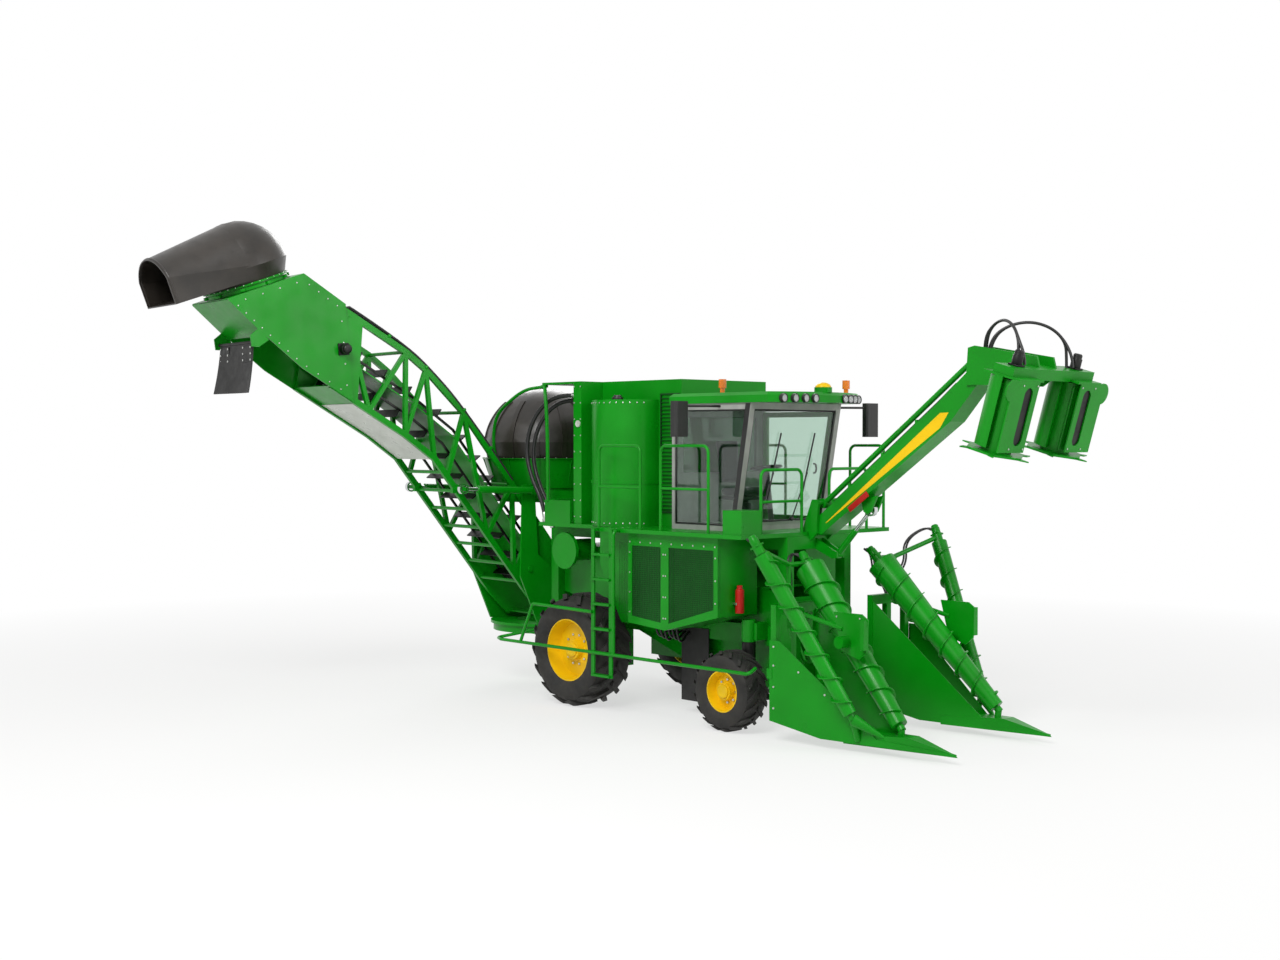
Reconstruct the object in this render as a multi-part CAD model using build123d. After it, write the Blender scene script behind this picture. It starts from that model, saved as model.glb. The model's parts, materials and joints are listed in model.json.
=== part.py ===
"""Wheeled sugarcane harvester, millimetres, +X forward, +Y left, +Z up.

The origin lies on the ground under the middle of the rear axle.  Every piece is modelled at its
working place, with the elevator slewed to the right and the topper boom raised.
"""
from build123d import *
import os
from math import asin, atan2, cos, degrees, hypot, radians, sin

# Wheels and axles
WHEELBASE = 2750.0
REAR_TRACK = 2240.0
REAR_TYRE_RADIUS = 745.0
REAR_TYRE_WIDTH = 600.0
REAR_RIM_RADIUS = 412.0
FRONT_TRACK = 2240.0
FRONT_TYRE_RADIUS = 490.0
FRONT_TYRE_WIDTH = 380.0
FRONT_RIM_RADIUS = 252.0
RIM_WALL = 14.0
REAR_LUGS = 16
FRONT_LUGS = 18
LUG_ANGLE = 42.0
REAR_SPINDLE_RADIUS = 70.0
FRONT_SPINDLE_RADIUS = 45.0
KINGPIN_INSET = 130.0
KINGPIN_Y = FRONT_TRACK / 2 - FRONT_TYRE_WIDTH / 2 - KINGPIN_INSET
KINGPIN_RADIUS = 55.0
KINGPIN_TOP = 1290.0
LEG_SLEEVE_RADIUS = 85.0
LEG_BOTTOM = 1060.0

# Running clearance of pins and shafts, and the gap under pieces that only rest near each other
FIT = 0.05
SEAT = 0.3

# Main frame
FRAME_INNER = 480.0
FRAME_OUTER = 600.0
FRAME_REAR = -1240.0
FRAME_FRONT = 3200.0
LOWER_BEAM_Z = (1000.0, 1240.0)
UPPER_BEAM_Z = (2190.0, 2350.0)
POST_DEPTH = 150.0
AXLE_BOX_HALF = 330.0
AXLE_TUBE_RADIUS = 165.0
DECK_THICKNESS = 50.0
LASHING_EYE = (-940.0, 900.0)
LASHING_Y = (520.0, 560.0)
LASHING_RADIUS = 30.0

# Deck, rails and ladder
DECK_FRONT = 3180.0
DECK_REAR = -990.0
REAR_PANEL_HEIGHT = 360.0
DECK_STEP_X = 580.0
DECK_REAR_SIDE = 1040.0
RAIL_RADIUS = 19.0
RAIL_HEIGHT = 1060.0
FRONT_RAIL_HEIGHT = 770.0
GUARD_RADIUS = 22.0
GUARD_GAP = 80.0
GUARD_Y = max(REAR_TRACK + REAR_TYRE_WIDTH, FRONT_TRACK + FRONT_TYRE_WIDTH) / 2 + GUARD_GAP
GUARD_REAR_TUCK = 100.0
GUARD_FRONT_TUCK = 120.0
GUARD_Z = 790.0
DECK_INSET = 100.0
DECK_SIDE = GUARD_Y - DECK_INSET
RAIL_INSET = 40.0
RAIL_Y = DECK_SIDE - RAIL_INSET
LADDER_X = (640.0, 980.0)
LADDER_Y = GUARD_Y - 20

# Boxes on the frame
COOLER_X = (1110.0, 2700.0)
COOLER_Y = 1300.0
ENCLOSURE_X = (-300.0, 1380.0)
ENCLOSURE_ROOF_REAR = -960.0
ENCLOSURE_Y = 1000.0
ENCLOSURE_STEP_Y = 610.0
ENCLOSURE_TOP = 4320.0
ENCLOSURE_WALL = 30.0
TANK_X = 430.0
TANK_RADIUS = 530.0
TANK_TOP = 4060.0
ENGINE_X = (-240.0, 1160.0)
ENGINE_HALF_WIDTH = 520.0
ENGINE_HEIGHT = 900.0

# Feed throat and base cutter
FEED_WALL = 36.0
FEED_CLEAR = 0.5
CUTTER_X = 1900.0
CUTTER_Y = 300.0
CUTTER_RADIUS = 285.0
CUTTER_Z = 150.0
CUTTER_SHAFT_RADIUS = 60.0
CUTTER_BOX_Z = (640.0, 860.0)
ROLLER_X = 2920.0
ROLLER_Z = 1420.0
ROLLER_RADIUS = 150.0
ROLLER_SHAFT_RADIUS = 35.0

# Cab
CAB_REAR = 1450.0
CAB_SILL = 2560.0
CAB_HEAD = 2830.0
CAB_HALF_WIDTH = 850.0
CAB_WALL = 50.0
CAB_FLOOR = 60.0
CAB_TOP = 3990.0
CAB_PILLAR = 80.0
ROOF_THICKNESS = 130.0
ROOF_FRONT = 3380.0
GLASS = 8.0
DOOR_GAP = 8.0
DOOR_FRAME = 70.0
HINGE_Y = 16.0
HINGE_RADIUS = 16.0
HINGE_PIN = 8.0
HINGE_Z = (2760.0, 3600.0)

# Primary extractor and slewing elevator
SLEW_X = -2100.0
SLEW_HEADING = -95.0
EXTRACTOR_Z = (2640.0, 2860.0)
EXTRACTOR_RADIUS = 735.0
HOOD_WALL = 16.0
HOODS = {
    # name: (bulge beyond the foot, waist, height, spout's reach, half width, low and high edge, ribs)
    "primary": (145.0, 640.0, 1430.0, 1220.0, 560.0, 620.0, 1180.0, 14),
    "secondary": (80.0, 190.0, 790.0, 1180.0, 450.0, 30.0, 640.0, 0),
}
HOOD_RIB_HEIGHT = 18.0
HOOD_RIB_WIDTH = 70.0
FAN_SEAT = 60.0
FAN_SHAFT = 40.0
SECONDARY_FAN_DROP = 130.0
RING_Z = (760.0, 860.0)
RING_RADII = (420.0, 760.0)
TABLE_THICKNESS = 40.0
TABLE_RADIUS = 800.0
MAST_T = (600.0, 632.0)
TRUSS_T = (480.0, 540.0)
LIFT_PIVOT = (700.0, 1700.0)
LIFT_PIN_RADIUS = 40.0
CYLINDER_T = 710.0
CYLINDER_BASE = (690.0, 2820.0)
CYLINDER_EYE = (1860.0, 2860.0)
CYLINDER_PIN = 28.0
CYLINDER_EYE_DRIFT = 22.0
LOWER_CHORD = [(-380, 1000), (330, 1000), (650, 1330), (2200, 3283), (2650, 3600), (3760, 4245)]
UPPER_CHORD = [(60, 1780), (930, 2900), (1730, 3910), (2330, 4485), (2640, 4715), (3560, 5230)]
CHORD_WIDTH = 80.0
FLIGHT_PITCH = 330.0
HOUSING_T = 560.0
FLAP_PIVOT = (4830.0, 4770.0)
HOUSING = [(3450, 4030), (4190, 4460), (4700, 4860), (5190, 5290), (4160, 5665), (3560, 5300)]

# Topper
BOOM_PIVOT = (3250.0, 2450.0)
LINK_PIVOT = (3280.0, 2750.0)
HEAD_PIVOT = (5550.0, 4220.0)
BOOM_HALF_WIDTH = 140.0
BOOM_PIN_RADIUS = 35.0
LINK_RADIUS = 34.0
TOPPER_TILT = 16.0
TOPPER_DISC = (6160.0, 570.0, 3400.0)
TOPPER_DISC_RADIUS = 430.0
TOPPER_DRUM_RADIUS = 170.0
TOPPER_DRUM_HEIGHT = 800.0
TOPPER_SHAFT_RADIUS = 40.0
TOPPER_SHROUD_GAP = 55.0
TOPPER_SHROUD_Z = 60.0
TOPPER_BLADES = 6
TOPPER_BLADE_REACH = 90.0
TOPPER_BLADE_WIDTH = 90.0
TOPPER_BASE = (3490.0, 2130.0)
TOPPER_EYE = (4010.0, 2690.0)
TOPPER_EYE_DRIFT = 30.0

# Crop dividers, given for the left side
DIVIDER_PIVOT = (3420.0, 800.0)
DIVIDER_LUG_Y = (480.0, 600.0)
TOE = (5940.0, 915.0, 90.0)
SCROLLS = {
    # name: (lower end, upper end, lower radius, upper radius)
    "outer": ((4722.0, 1256.0, 458.0), (3770.0, 1680.0, 2215.0), 80.0, 98.0),
    "inner": ((5166.0, 930.0, 348.0), (3632.0, 669.0, 1999.0), 95.0, 182.0),
}
SCROLL_GAP = 10.0
KNIFE_PLATE = (4540.0, 1020.0, 1310.0)
FLIGHT_LEAD = 300.0
FLIGHT_HEIGHT = 34.0
FLIGHT_THICKNESS = 12.0
FLIGHT_MARGIN = 110.0


def block(x, y, z):
    """Box between the low and high values of each axis."""
    return Pos((x[0] + x[1]) / 2, (y[0] + y[1]) / 2, (z[0] + z[1]) / 2) * Box(
        x[1] - x[0], y[1] - y[0], z[1] - z[0])


def plate_xz(points, y):
    """Upright plate: an outline in X and Z between two values of Y."""
    face = make_face(Plane.XZ * Polyline(*points, close=True))
    return Pos(0, y[0], 0) * extrude(face, amount=y[1] - y[0], dir=(0, 1, 0))


def plate_xy(points, z):
    """Level plate: an outline in X and Y between two values of Z."""
    face = make_face(Polyline(*points, close=True))
    return Pos(0, 0, z[0]) * extrude(face, amount=z[1] - z[0])


def band(points, width):
    """Outline of a strip of the given width along a line of points, with mitred corners."""
    left, right = [], []
    for i, (x, z) in enumerate(points):
        before = points[i - 1] if i > 0 else None
        after = points[i + 1] if i + 1 < len(points) else None
        headings = []
        if before:
            headings.append(atan2(z - before[1], x - before[0]))
        if after:
            headings.append(atan2(after[1] - z, after[0] - x))
        mean = sum(headings) / len(headings)
        half = (headings[-1] - headings[0]) / 2
        reach = width / 2 / cos(half)
        left.append((x - reach * sin(mean), z + reach * cos(mean)))
        right.append((x + reach * sin(mean), z - reach * cos(mean)))
    return left + right[::-1]


def rod(a, b, radius):
    """Round bar between two points."""
    a, b = Vector(*a), Vector(*b)
    return extrude(Plane(origin=a, z_dir=b - a) * Circle(radius), amount=(b - a).length)


def bar(a, b, width, depth, side=(0, 1, 0)):
    """Rectangular bar between two points, its width along the side direction."""
    a, b = Vector(*a), Vector(*b)
    return extrude(Plane(origin=a, x_dir=side, z_dir=b - a) * Rectangle(width, depth), amount=(b - a).length)


def bent_tube(points, radius, bend):
    """Round tube along straight runs joined by arcs."""
    path = FilletPolyline(*points, radius=bend)
    return sweep(Plane(origin=path @ 0, z_dir=path % 0) * Circle(radius), path)


def along_y(x, z, y, radius):
    """Round bar along Y at a place in X and Z."""
    return rod((x, y[0], z), (x, y[1], z), radius)


def along_z(x, y, z, radius):
    """Round bar along Z at a place in X and Y."""
    return Pos(x, y, (z[0] + z[1]) / 2) * Cylinder(radius, z[1] - z[0])


def join(pieces):
    """One solid from pieces that meet."""
    first, *rest = pieces
    return first + rest


def both_sides(piece):
    """The piece and its mirror image across the centre plane."""
    return [piece, mirror(piece, about=Plane.XZ)]


def on_elevator(piece):
    """Turn a piece from the elevator's own frame (X along it, Y across it) to its slewed place."""
    return Pos(SLEW_X, 0, 0) * Rot(0, 0, SLEW_HEADING) * piece


def save(name, piece):
    """Write one piece as a STEP file."""
    solids = piece.solids()
    shape = solids[0] if len(solids) == 1 else Compound(children=solids)
    export_step(shape, os.path.join("parts", name + ".step"))


# Wheels

def tyre(radius, width, rim_radius, lugs, lug_height, lug_width):
    """Tyre about the Y axis: a rounded carcass with a V of lugs repeated round its tread."""
    tread = radius - lug_height
    rise = tread - rim_radius
    bead, shoulder = (0.42 * width, 0, rim_radius), (0.45 * width, 0, rim_radius + 0.84 * rise)
    crown = (0, 0, tread)
    edges = [Line((0, 0, rim_radius), bead), ThreePointArc(bead, (0.5 * width, 0, rim_radius + 0.45 * rise), shoulder),
             ThreePointArc(shoulder, (0.27 * width, 0, tread - 0.03 * rise), crown), Line(crown, (0, 0, rim_radius))]
    half = revolve(make_face(Curve() + edges), axis=Axis.X)
    carcass = half + mirror(half, about=Plane.YZ)
    # Form that the lugs' outer faces follow: a flat tread with a bevelled shoulder
    side = 0.5 * width
    form = [(0, 0, radius), (0.34 * width, 0, radius), (side, 0, radius - 1.6 * lug_height), (side, 0, rim_radius),
            (0, 0, rim_radius)]
    envelope = revolve(make_face(Polyline(*form, close=True)), axis=Axis.X)
    # One lug from the tread's middle out over the shoulder, its middle end leading
    reach = 0.56 * width / cos(radians(LUG_ANGLE))
    bar_place = Pos(0, 0, radius - 1.2 * lug_height) * Rot(0, 0, -LUG_ANGLE) * Pos((reach - lug_width) / 2, 0, 0)
    lug = (bar_place * Box(reach, lug_width, 3.2 * lug_height)) & envelope
    pieces = [carcass]
    for i in range(lugs):
        turn = Rot(360 * i / lugs, 0, 0)
        pieces.append(turn * lug)
        pieces.append(turn * Rot(180 / lugs, 0, 0) * mirror(lug, about=Plane.YZ))
    return Rot(0, 0, 90) * join(pieces)


def rim(radius, width, spindle_radius, hub_reach):
    """Dished rim about the Y axis, its outer face towards +Y, with a bored hub."""
    half = 0.42 * width
    face_y = 0.18 * width
    outline = [
        (spindle_radius + FIT, -hub_reach), (spindle_radius + 60, -hub_reach),
        (spindle_radius + 60, face_y - 40), (0.8 * radius, face_y - 60),
        (radius - RIM_WALL, -half + 60), (radius - RIM_WALL, -half),
        (radius, -half), (radius, half), (radius - RIM_WALL, half),
        (0.84 * radius, face_y - 30), (spindle_radius + 75, face_y - 20),
        (spindle_radius + 60, face_y + 60), (spindle_radius + FIT, face_y + 60),
    ]
    face = make_face(Polyline(*[(0, r, -y) for r, y in outline], close=True))
    return Rot(90, 0, 0) * revolve(face, axis=Axis.Z)


def wheels():
    """Four wheels, each a tyre on a rim."""
    rows = [
        # name, x, track, tyre radius, tyre width, rim radius, spindle radius, hub reach, lugs, height, width
        ("rear", 0, REAR_TRACK, REAR_TYRE_RADIUS, REAR_TYRE_WIDTH, REAR_RIM_RADIUS, REAR_SPINDLE_RADIUS, 40,
         REAR_LUGS, 42, 62),
        ("front", WHEELBASE, FRONT_TRACK, FRONT_TYRE_RADIUS, FRONT_TYRE_WIDTH, FRONT_RIM_RADIUS,
         FRONT_SPINDLE_RADIUS, 60, FRONT_LUGS, 22, 36),
    ]
    for name, x, track, radius, width, rim_radius, spindle, hub, lugs, lug_height, lug_width in rows:
        place = Pos(x, track / 2, radius)
        pieces = {"tyre": tyre(radius, width, rim_radius, lugs, lug_height, lug_width),
                  "rim": rim(rim_radius, width, spindle, hub)}
        for kind, piece in pieces.items():
            left = place * piece
            save(f"{name}_{kind}_left", left)
            save(f"{name}_{kind}_right", mirror(left, about=Plane.XZ))


def knuckle():
    """Left steering knuckle: kingpin, upright and stub axle."""
    axle_z = FRONT_TYRE_RADIUS
    wheel_y = FRONT_TRACK / 2
    hub_start = wheel_y - 60 - 20
    kingpin = along_z(WHEELBASE, KINGPIN_Y, (axle_z - 90, KINGPIN_TOP), KINGPIN_RADIUS)
    collar = along_z(WHEELBASE, KINGPIN_Y, (axle_z - 110, LEG_BOTTOM - 5), LEG_SLEEVE_RADIUS)
    flange = along_y(WHEELBASE, axle_z, (KINGPIN_Y, hub_start), 80)
    stub_end = wheel_y + 0.18 * FRONT_TYRE_WIDTH + 60
    stub = along_y(WHEELBASE, axle_z, (KINGPIN_Y, stub_end), FRONT_SPINDLE_RADIUS)
    arm = block((WHEELBASE - 260, WHEELBASE), (KINGPIN_Y - 40, KINGPIN_Y + 40), (axle_z + 190, axle_z + 230))
    return join([collar, kingpin, flange, stub, arm])


# Chassis

def main_frame():
    """Welded frame: beams, posts, axle boxes, leg sleeves, front portal and the slew ring's carrier."""
    pieces = []
    side_y = (FRAME_INNER, FRAME_OUTER)
    posts = [FRAME_REAR, -POST_DEPTH / 2, 1000.0, FRAME_FRONT - POST_DEPTH]
    side = [block((FRAME_REAR, FRAME_FRONT), side_y, LOWER_BEAM_Z),
            block((FRAME_REAR, FRAME_FRONT), side_y, UPPER_BEAM_Z)]
    for x in posts:
        side.append(block((x, x + POST_DEPTH), side_y, (LOWER_BEAM_Z[0], UPPER_BEAM_Z[1])))
    # Axle box and final drive
    side.append(block((-AXLE_BOX_HALF, AXLE_BOX_HALF), side_y, (500, LOWER_BEAM_Z[1])))
    drive_end = REAR_TRACK / 2 - 60
    side.append(along_y(0, REAR_TYRE_RADIUS, (FRAME_INNER, drive_end), AXLE_TUBE_RADIUS))
    spindle_end = REAR_TRACK / 2 + 0.18 * REAR_TYRE_WIDTH + 60
    side.append(along_y(0, REAR_TYRE_RADIUS, (FRAME_INNER, spindle_end), REAR_SPINDLE_RADIUS))
    # Front leg sleeve with its bracket
    sleeve = along_z(WHEELBASE, KINGPIN_Y, (LEG_BOTTOM, KINGPIN_TOP + 40), LEG_SLEEVE_RADIUS)
    bracket = block((WHEELBASE - 130, WHEELBASE + 130), (FRAME_OUTER, KINGPIN_Y), (LEG_BOTTOM + 20, KINGPIN_TOP))
    bore = along_z(WHEELBASE, KINGPIN_Y, (LEG_BOTTOM, KINGPIN_TOP + FIT), KINGPIN_RADIUS + FIT)
    leg = join([sleeve, bracket]) - bore
    side.append(leg)
    # Lashing eye
    x, z = LASHING_EYE
    eye = [(x - 90, LOWER_BEAM_Z[0] + 10), (x - 60, z - 60), (x + 60, z - 60), (x + 90, LOWER_BEAM_Z[0] + 10)]
    side.append(plate_xz(eye, LASHING_Y) - along_y(x, z, LASHING_Y, LASHING_RADIUS))
    # Lugs and pin that carry the crop divider
    x, z = DIVIDER_PIVOT
    lug = [(FRAME_FRONT - POST_DEPTH, LOWER_BEAM_Z[1]), (FRAME_FRONT - POST_DEPTH, LOWER_BEAM_Z[0]), (x - 60, z - 50),
           (x + 45, z - 45), (x + 45, z + 45), (x - 20, z + 70), (FRAME_FRONT, LOWER_BEAM_Z[1])]
    low, high = DIVIDER_LUG_Y
    side.append(plate_xz(lug, (low, low + 40)))
    side.append(plate_xz(lug, (high - 40, high)))
    side.append(along_y(x, z, (low, high), CYLINDER_PIN))
    pieces += [mirrored for piece in side for mirrored in both_sides(piece)]
    # Cross members
    across = (-FRAME_OUTER, FRAME_OUTER)
    for x in posts:
        pieces.append(block((x, x + POST_DEPTH), across, UPPER_BEAM_Z))
    pieces.append(block((FRAME_REAR, FRAME_REAR + POST_DEPTH), across, LOWER_BEAM_Z))
    # Lugs of the topper boom, its link and its cylinder
    boom_x, boom_z = BOOM_PIVOT
    link_x, link_z = LINK_PIVOT
    top = UPPER_BEAM_Z[1]
    cheek = [(FRAME_FRONT - POST_DEPTH, top), (FRAME_FRONT, top - 60), (boom_x + 60, boom_z - 60),
             (boom_x + 60, boom_z + 20), (link_x + 50, link_z), (link_x + 30, link_z + 50), (link_x - 50, link_z + 50)]
    for y in both_sides_y(BOOM_HALF_WIDTH + 5, BOOM_HALF_WIDTH + 45):
        pieces.append(plate_xz(cheek, y))
    base_x, base_z = TOPPER_BASE
    toe = [(FRAME_FRONT - 40, UPPER_BEAM_Z[1] - 10), (base_x - 20, base_z + 55), (base_x + 45, base_z + 30),
           (base_x + 45, base_z - 40), (base_x - 30, base_z - 50), (FRAME_FRONT - 40, UPPER_BEAM_Z[0] + 10)]
    for y in both_sides_y(45, 75):
        pieces.append(plate_xz(toe, y))
    pieces.append(along_y(base_x, base_z, (-75, 75), CYLINDER_PIN))
    pieces.append(along_y(boom_x, boom_z, (-BOOM_HALF_WIDTH - 45, BOOM_HALF_WIDTH + 45), BOOM_PIN_RADIUS))
    pieces.append(along_y(link_x, link_z, (-BOOM_HALF_WIDTH - 45, BOOM_HALF_WIDTH + 45), CYLINDER_PIN))
    # Carrier and fixed ring under the slewing table
    for sign in (-1, 1):
        pieces.append(bar((FRAME_REAR + 60, sign * 540, RING_Z[0] + 30), (SLEW_X, sign * 540, RING_Z[0] + 40), 120, 80))
    ring = along_z(SLEW_X, 0, RING_Z, RING_RADII[1]) - along_z(SLEW_X, 0, RING_Z, RING_RADII[0])
    pieces.append(ring)
    for sign in (-1, 1):
        y = sorted((sign * FRAME_INNER, sign * FRAME_OUTER))
        pieces.append(block((FRAME_REAR, FRAME_REAR + POST_DEPTH), y, (RING_Z[0] - 20, LOWER_BEAM_Z[0])))
    return join(pieces)


def both_sides_y(low, high):
    """The span and its mirror image, as pairs of Y."""
    return [(low, high), (-high, -low)]


def feed_housing():
    """Roller train's box: side walls with a sloping floor and roof, the cutter gearbox and the chopper cover."""
    outer = FRAME_INNER - FEED_CLEAR
    wall = [(2640, 330), (3040, 700), (3040, 1640), (-300, 2060), (-1180, 2060), (-1180, 1420), (-500, 1300),
            (1500, 620), (1500, 330)]
    pieces = []
    for y in both_sides_y(outer - FEED_WALL, outer):
        pieces.append(plate_xz(wall, y))
    inside = (-outer + FEED_WALL, outer - FEED_WALL)
    pieces.append(plate_xz(band([(1520, 640), (-500, 1320), (-1170, 1440)], 30), inside))
    pieces.append(plate_xz(band([(2600, 1675), (-300, 2040), (-1170, 2040)], 30), inside))
    pieces.append(block((CUTTER_X - 190, CUTTER_X + 190), inside, CUTTER_BOX_Z))
    housing = join(pieces)
    for sign in (-1, 1):
        housing -= along_z(CUTTER_X, sign * CUTTER_Y, (CUTTER_BOX_Z[0], CUTTER_BOX_Z[0] + 100),
                           CUTTER_SHAFT_RADIUS + FIT)
    return housing - along_y(ROLLER_X, ROLLER_Z, (-outer, outer), ROLLER_SHAFT_RADIUS + FIT)


def chopper_covers():
    """Round covers of the chopper's gear cases, one each side behind the rear wheels."""
    x, z = -560.0, 2020.0
    cover = along_y(x, z, (FRAME_INNER - FEED_CLEAR, 900), 150) + along_y(x, z, (900, 950), 250)
    return both_sides(cover)


def deck():
    """Walking deck round the cab and under the engine cover, with the engine's well cut out."""
    low = UPPER_BEAM_Z[1]
    outline = [(DECK_REAR, -DECK_REAR_SIDE), (DECK_STEP_X, -DECK_REAR_SIDE), (DECK_STEP_X, -DECK_SIDE),
               (DECK_FRONT, -DECK_SIDE)]
    outline += [(x, -y) for x, y in outline[::-1]]
    plate = plate_xy(outline, (low, low + DECK_THICKNESS))
    well = block((ENGINE_X[0] - 20, ENGINE_X[1] + 20), (-ENGINE_HALF_WIDTH - 20, ENGINE_HALF_WIDTH + 20),
                 (low - 1, low + DECK_THICKNESS + 1))
    lugs = block((FRAME_FRONT - POST_DEPTH - 30, DECK_FRONT + 1), (-BOOM_HALF_WIDTH - 60, BOOM_HALF_WIDTH + 60),
                 (low - 1, low + DECK_THICKNESS + 1))
    panel = plate_xz([(280, low + 10), (900, low + 10), (900, 1150), (700, 1150), (280, 1900)],
                     (-DECK_REAR_SIDE, -DECK_REAR_SIDE + 30))
    locker = block((2860, DECK_FRONT - 10), (-DECK_SIDE + 20, -1040), (low, low + 340))
    rear_panel = block((DECK_REAR + 130, ENCLOSURE_X[0] - 30), (-DECK_REAR_SIDE, -DECK_REAR_SIDE + 30),
                       (low, low + REAR_PANEL_HEIGHT))
    return join([plate - well - lugs, panel, rear_panel, locker])


def cooler():
    """Cooling box under the right deck, with two framed screens and a V-shaped bottom."""
    top = UPPER_BEAM_Z[1]
    x0, x1 = COOLER_X
    middle = x0 + 0.42 * (x1 - x0)
    body = plate_xz([(x0, top), (x0, 1200), (middle, 1150), (x1, 1380), (x1, top)], (-COOLER_Y, -FRAME_OUTER))
    edge = 70
    for a, b, low_a, low_b in ((x0, middle, 1200, 1150), (middle, x1, 1150, 1380)):
        window = [(a + edge, 2190), (a + edge, low_a + edge + 20), (b - edge, low_b + edge + 20), (b - edge, 2190)]
        body -= plate_xz(window, (-COOLER_Y - 1, -COOLER_Y + 25))
        body += plate_xz(window, (-COOLER_Y + 10, -COOLER_Y + 25))
    return body


def fuel_tank():
    """Fuel tank under the left deck."""
    top = UPPER_BEAM_Z[1]
    x0, x1 = COOLER_X
    tank = block((x0, x1 - 250), (FRAME_OUTER, COOLER_Y), (1300, top))
    edges = [e for e in tank.edges().filter_by(Axis.X) if e.center().Y > COOLER_Y - 1]
    return fillet(edges, 80)


def enclosure():
    """Engine cover: a box open below, stepped in for the side tank, its roof running back towards the hood."""
    x0, x1 = ENCLOSURE_X
    low, top = UPPER_BEAM_Z[1] + DECK_THICKNESS, ENCLOSURE_TOP
    step = TANK_X - TANK_RADIUS - 40
    def body(inset, z):
        outline = [(x0 + inset, -ENCLOSURE_Y + inset), (step - inset, -ENCLOSURE_Y + inset),
                   (step - inset, -ENCLOSURE_STEP_Y + inset), (x1 - inset, -ENCLOSURE_STEP_Y + inset),
                   (x1 - inset, ENCLOSURE_Y - inset), (x0 + inset, ENCLOSURE_Y - inset)]
        return plate_xy(outline, z)
    cover = body(0, (low, top)) - body(ENCLOSURE_WALL, (low - 1, top - ENCLOSURE_WALL))
    roof = block((ENCLOSURE_ROOF_REAR, x0 + ENCLOSURE_WALL), (-ENCLOSURE_Y, ENCLOSURE_Y), (top - ENCLOSURE_WALL, top))
    return cover + roof


def side_tank():
    """Half-round tank standing against the engine cover on the right."""
    low = UPPER_BEAM_Z[1] + DECK_THICKNESS
    drum = along_z(TANK_X, -ENCLOSURE_STEP_Y, (low, TANK_TOP), TANK_RADIUS)
    drum += along_z(TANK_X, -ENCLOSURE_STEP_Y, (low + 560, low + 600), TANK_RADIUS + 12)
    keep = block((TANK_X - 600, TANK_X + 600), (-1300, -ENCLOSURE_STEP_Y), (low, TANK_TOP))
    return drum & keep


def engine():
    """Engine as one block on the upper beams."""
    low = UPPER_BEAM_Z[1]
    return block(ENGINE_X, (-ENGINE_HALF_WIDTH, ENGINE_HALF_WIDTH), (low, low + ENGINE_HEIGHT))


def rails_and_ladder():
    """Handrails on the deck, the side guards and the ladder, as separate welded groups."""
    deck_top = UPPER_BEAM_Z[1] + DECK_THICKNESS
    groups = []
    # Hoops along the deck: side (-1 right), start and end in X
    hoops = [(-1, 620, 1400), (-1, 1770, 2600), (1, 700, 1420), (1, 2560, 3120)]
    for sign, a, b in hoops:
        y = sign * RAIL_Y
        loop = bent_tube([(a, y, deck_top), (a, y, deck_top + RAIL_HEIGHT), (b, y, deck_top + RAIL_HEIGHT),
                          (b, y, deck_top)], RAIL_RADIUS, 90)
        middle = rod((a, y, deck_top + RAIL_HEIGHT / 2), (b, y, deck_top + RAIL_HEIGHT / 2), RAIL_RADIUS - 2)
        groups.append(loop + middle)
    # Rails across the deck's front, either side of the topper boom
    x = DECK_FRONT - 50
    for a, b in both_sides_y(260, 1000):
        loop = bent_tube([(x, a, deck_top), (x, a, deck_top + FRONT_RAIL_HEIGHT), (x, b, deck_top + FRONT_RAIL_HEIGHT),
                          (x, b, deck_top)], RAIL_RADIUS, 90)
        middle_z = deck_top + FRONT_RAIL_HEIGHT / 2
        middle = rod((x, a, middle_z), (x, b, middle_z), RAIL_RADIUS - 2)
        groups.append(loop + middle)
    # Side guards with their hangers up to the deck
    for sign in (-1, 1):
        y = sign * GUARD_Y
        root_x = FRAME_REAR + POST_DEPTH / 2
        run = bent_tube([(root_x, sign * FRAME_OUTER, GUARD_Z + 100), (root_x, sign * 900, GUARD_Z + 100),
                         (-1450, y - sign * GUARD_REAR_TUCK, GUARD_Z), (-1250, y, GUARD_Z), (3400, y, GUARD_Z),
                         (3400, y - sign * GUARD_FRONT_TUCK, GUARD_Z + 60)], GUARD_RADIUS, 60)
        edge_z = UPPER_BEAM_Z[1] + DECK_THICKNESS / 2
        hanger = bent_tube([(1050, y, GUARD_Z), (1050, y, edge_z), (1050, sign * DECK_SIDE, edge_z)], GUARD_RADIUS, 60)
        groups.append(run + hanger)
    # Ladder
    x0, x1 = LADDER_X
    y = -LADDER_Y
    ladder = [bar((x, y, 480), (x, y, 2390), 20, 60) for x in (x0, x1)]
    for z in (500, 790, 1100, 1420, 1740, 2060):
        ladder.append(block((x0, x1), (y - 40, y + 40), (z - 15, z + 15)))
    for x in (x0, x1):
        ladder.append(block((x - 30, x + 30), (y, -DECK_SIDE), (2355, 2390)))
    hoop = bent_tube([(-830, -GUARD_Y, GUARD_Z), (-560, -GUARD_Y, 1335), (x0, -GUARD_Y, 1310)], GUARD_RADIUS, 60)
    right_guard = next(group for group in groups if group.bounding_box().min.Y < -GUARD_Y)
    groups[groups.index(right_guard)] = join([right_guard, hoop] + ladder)
    return groups


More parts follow.
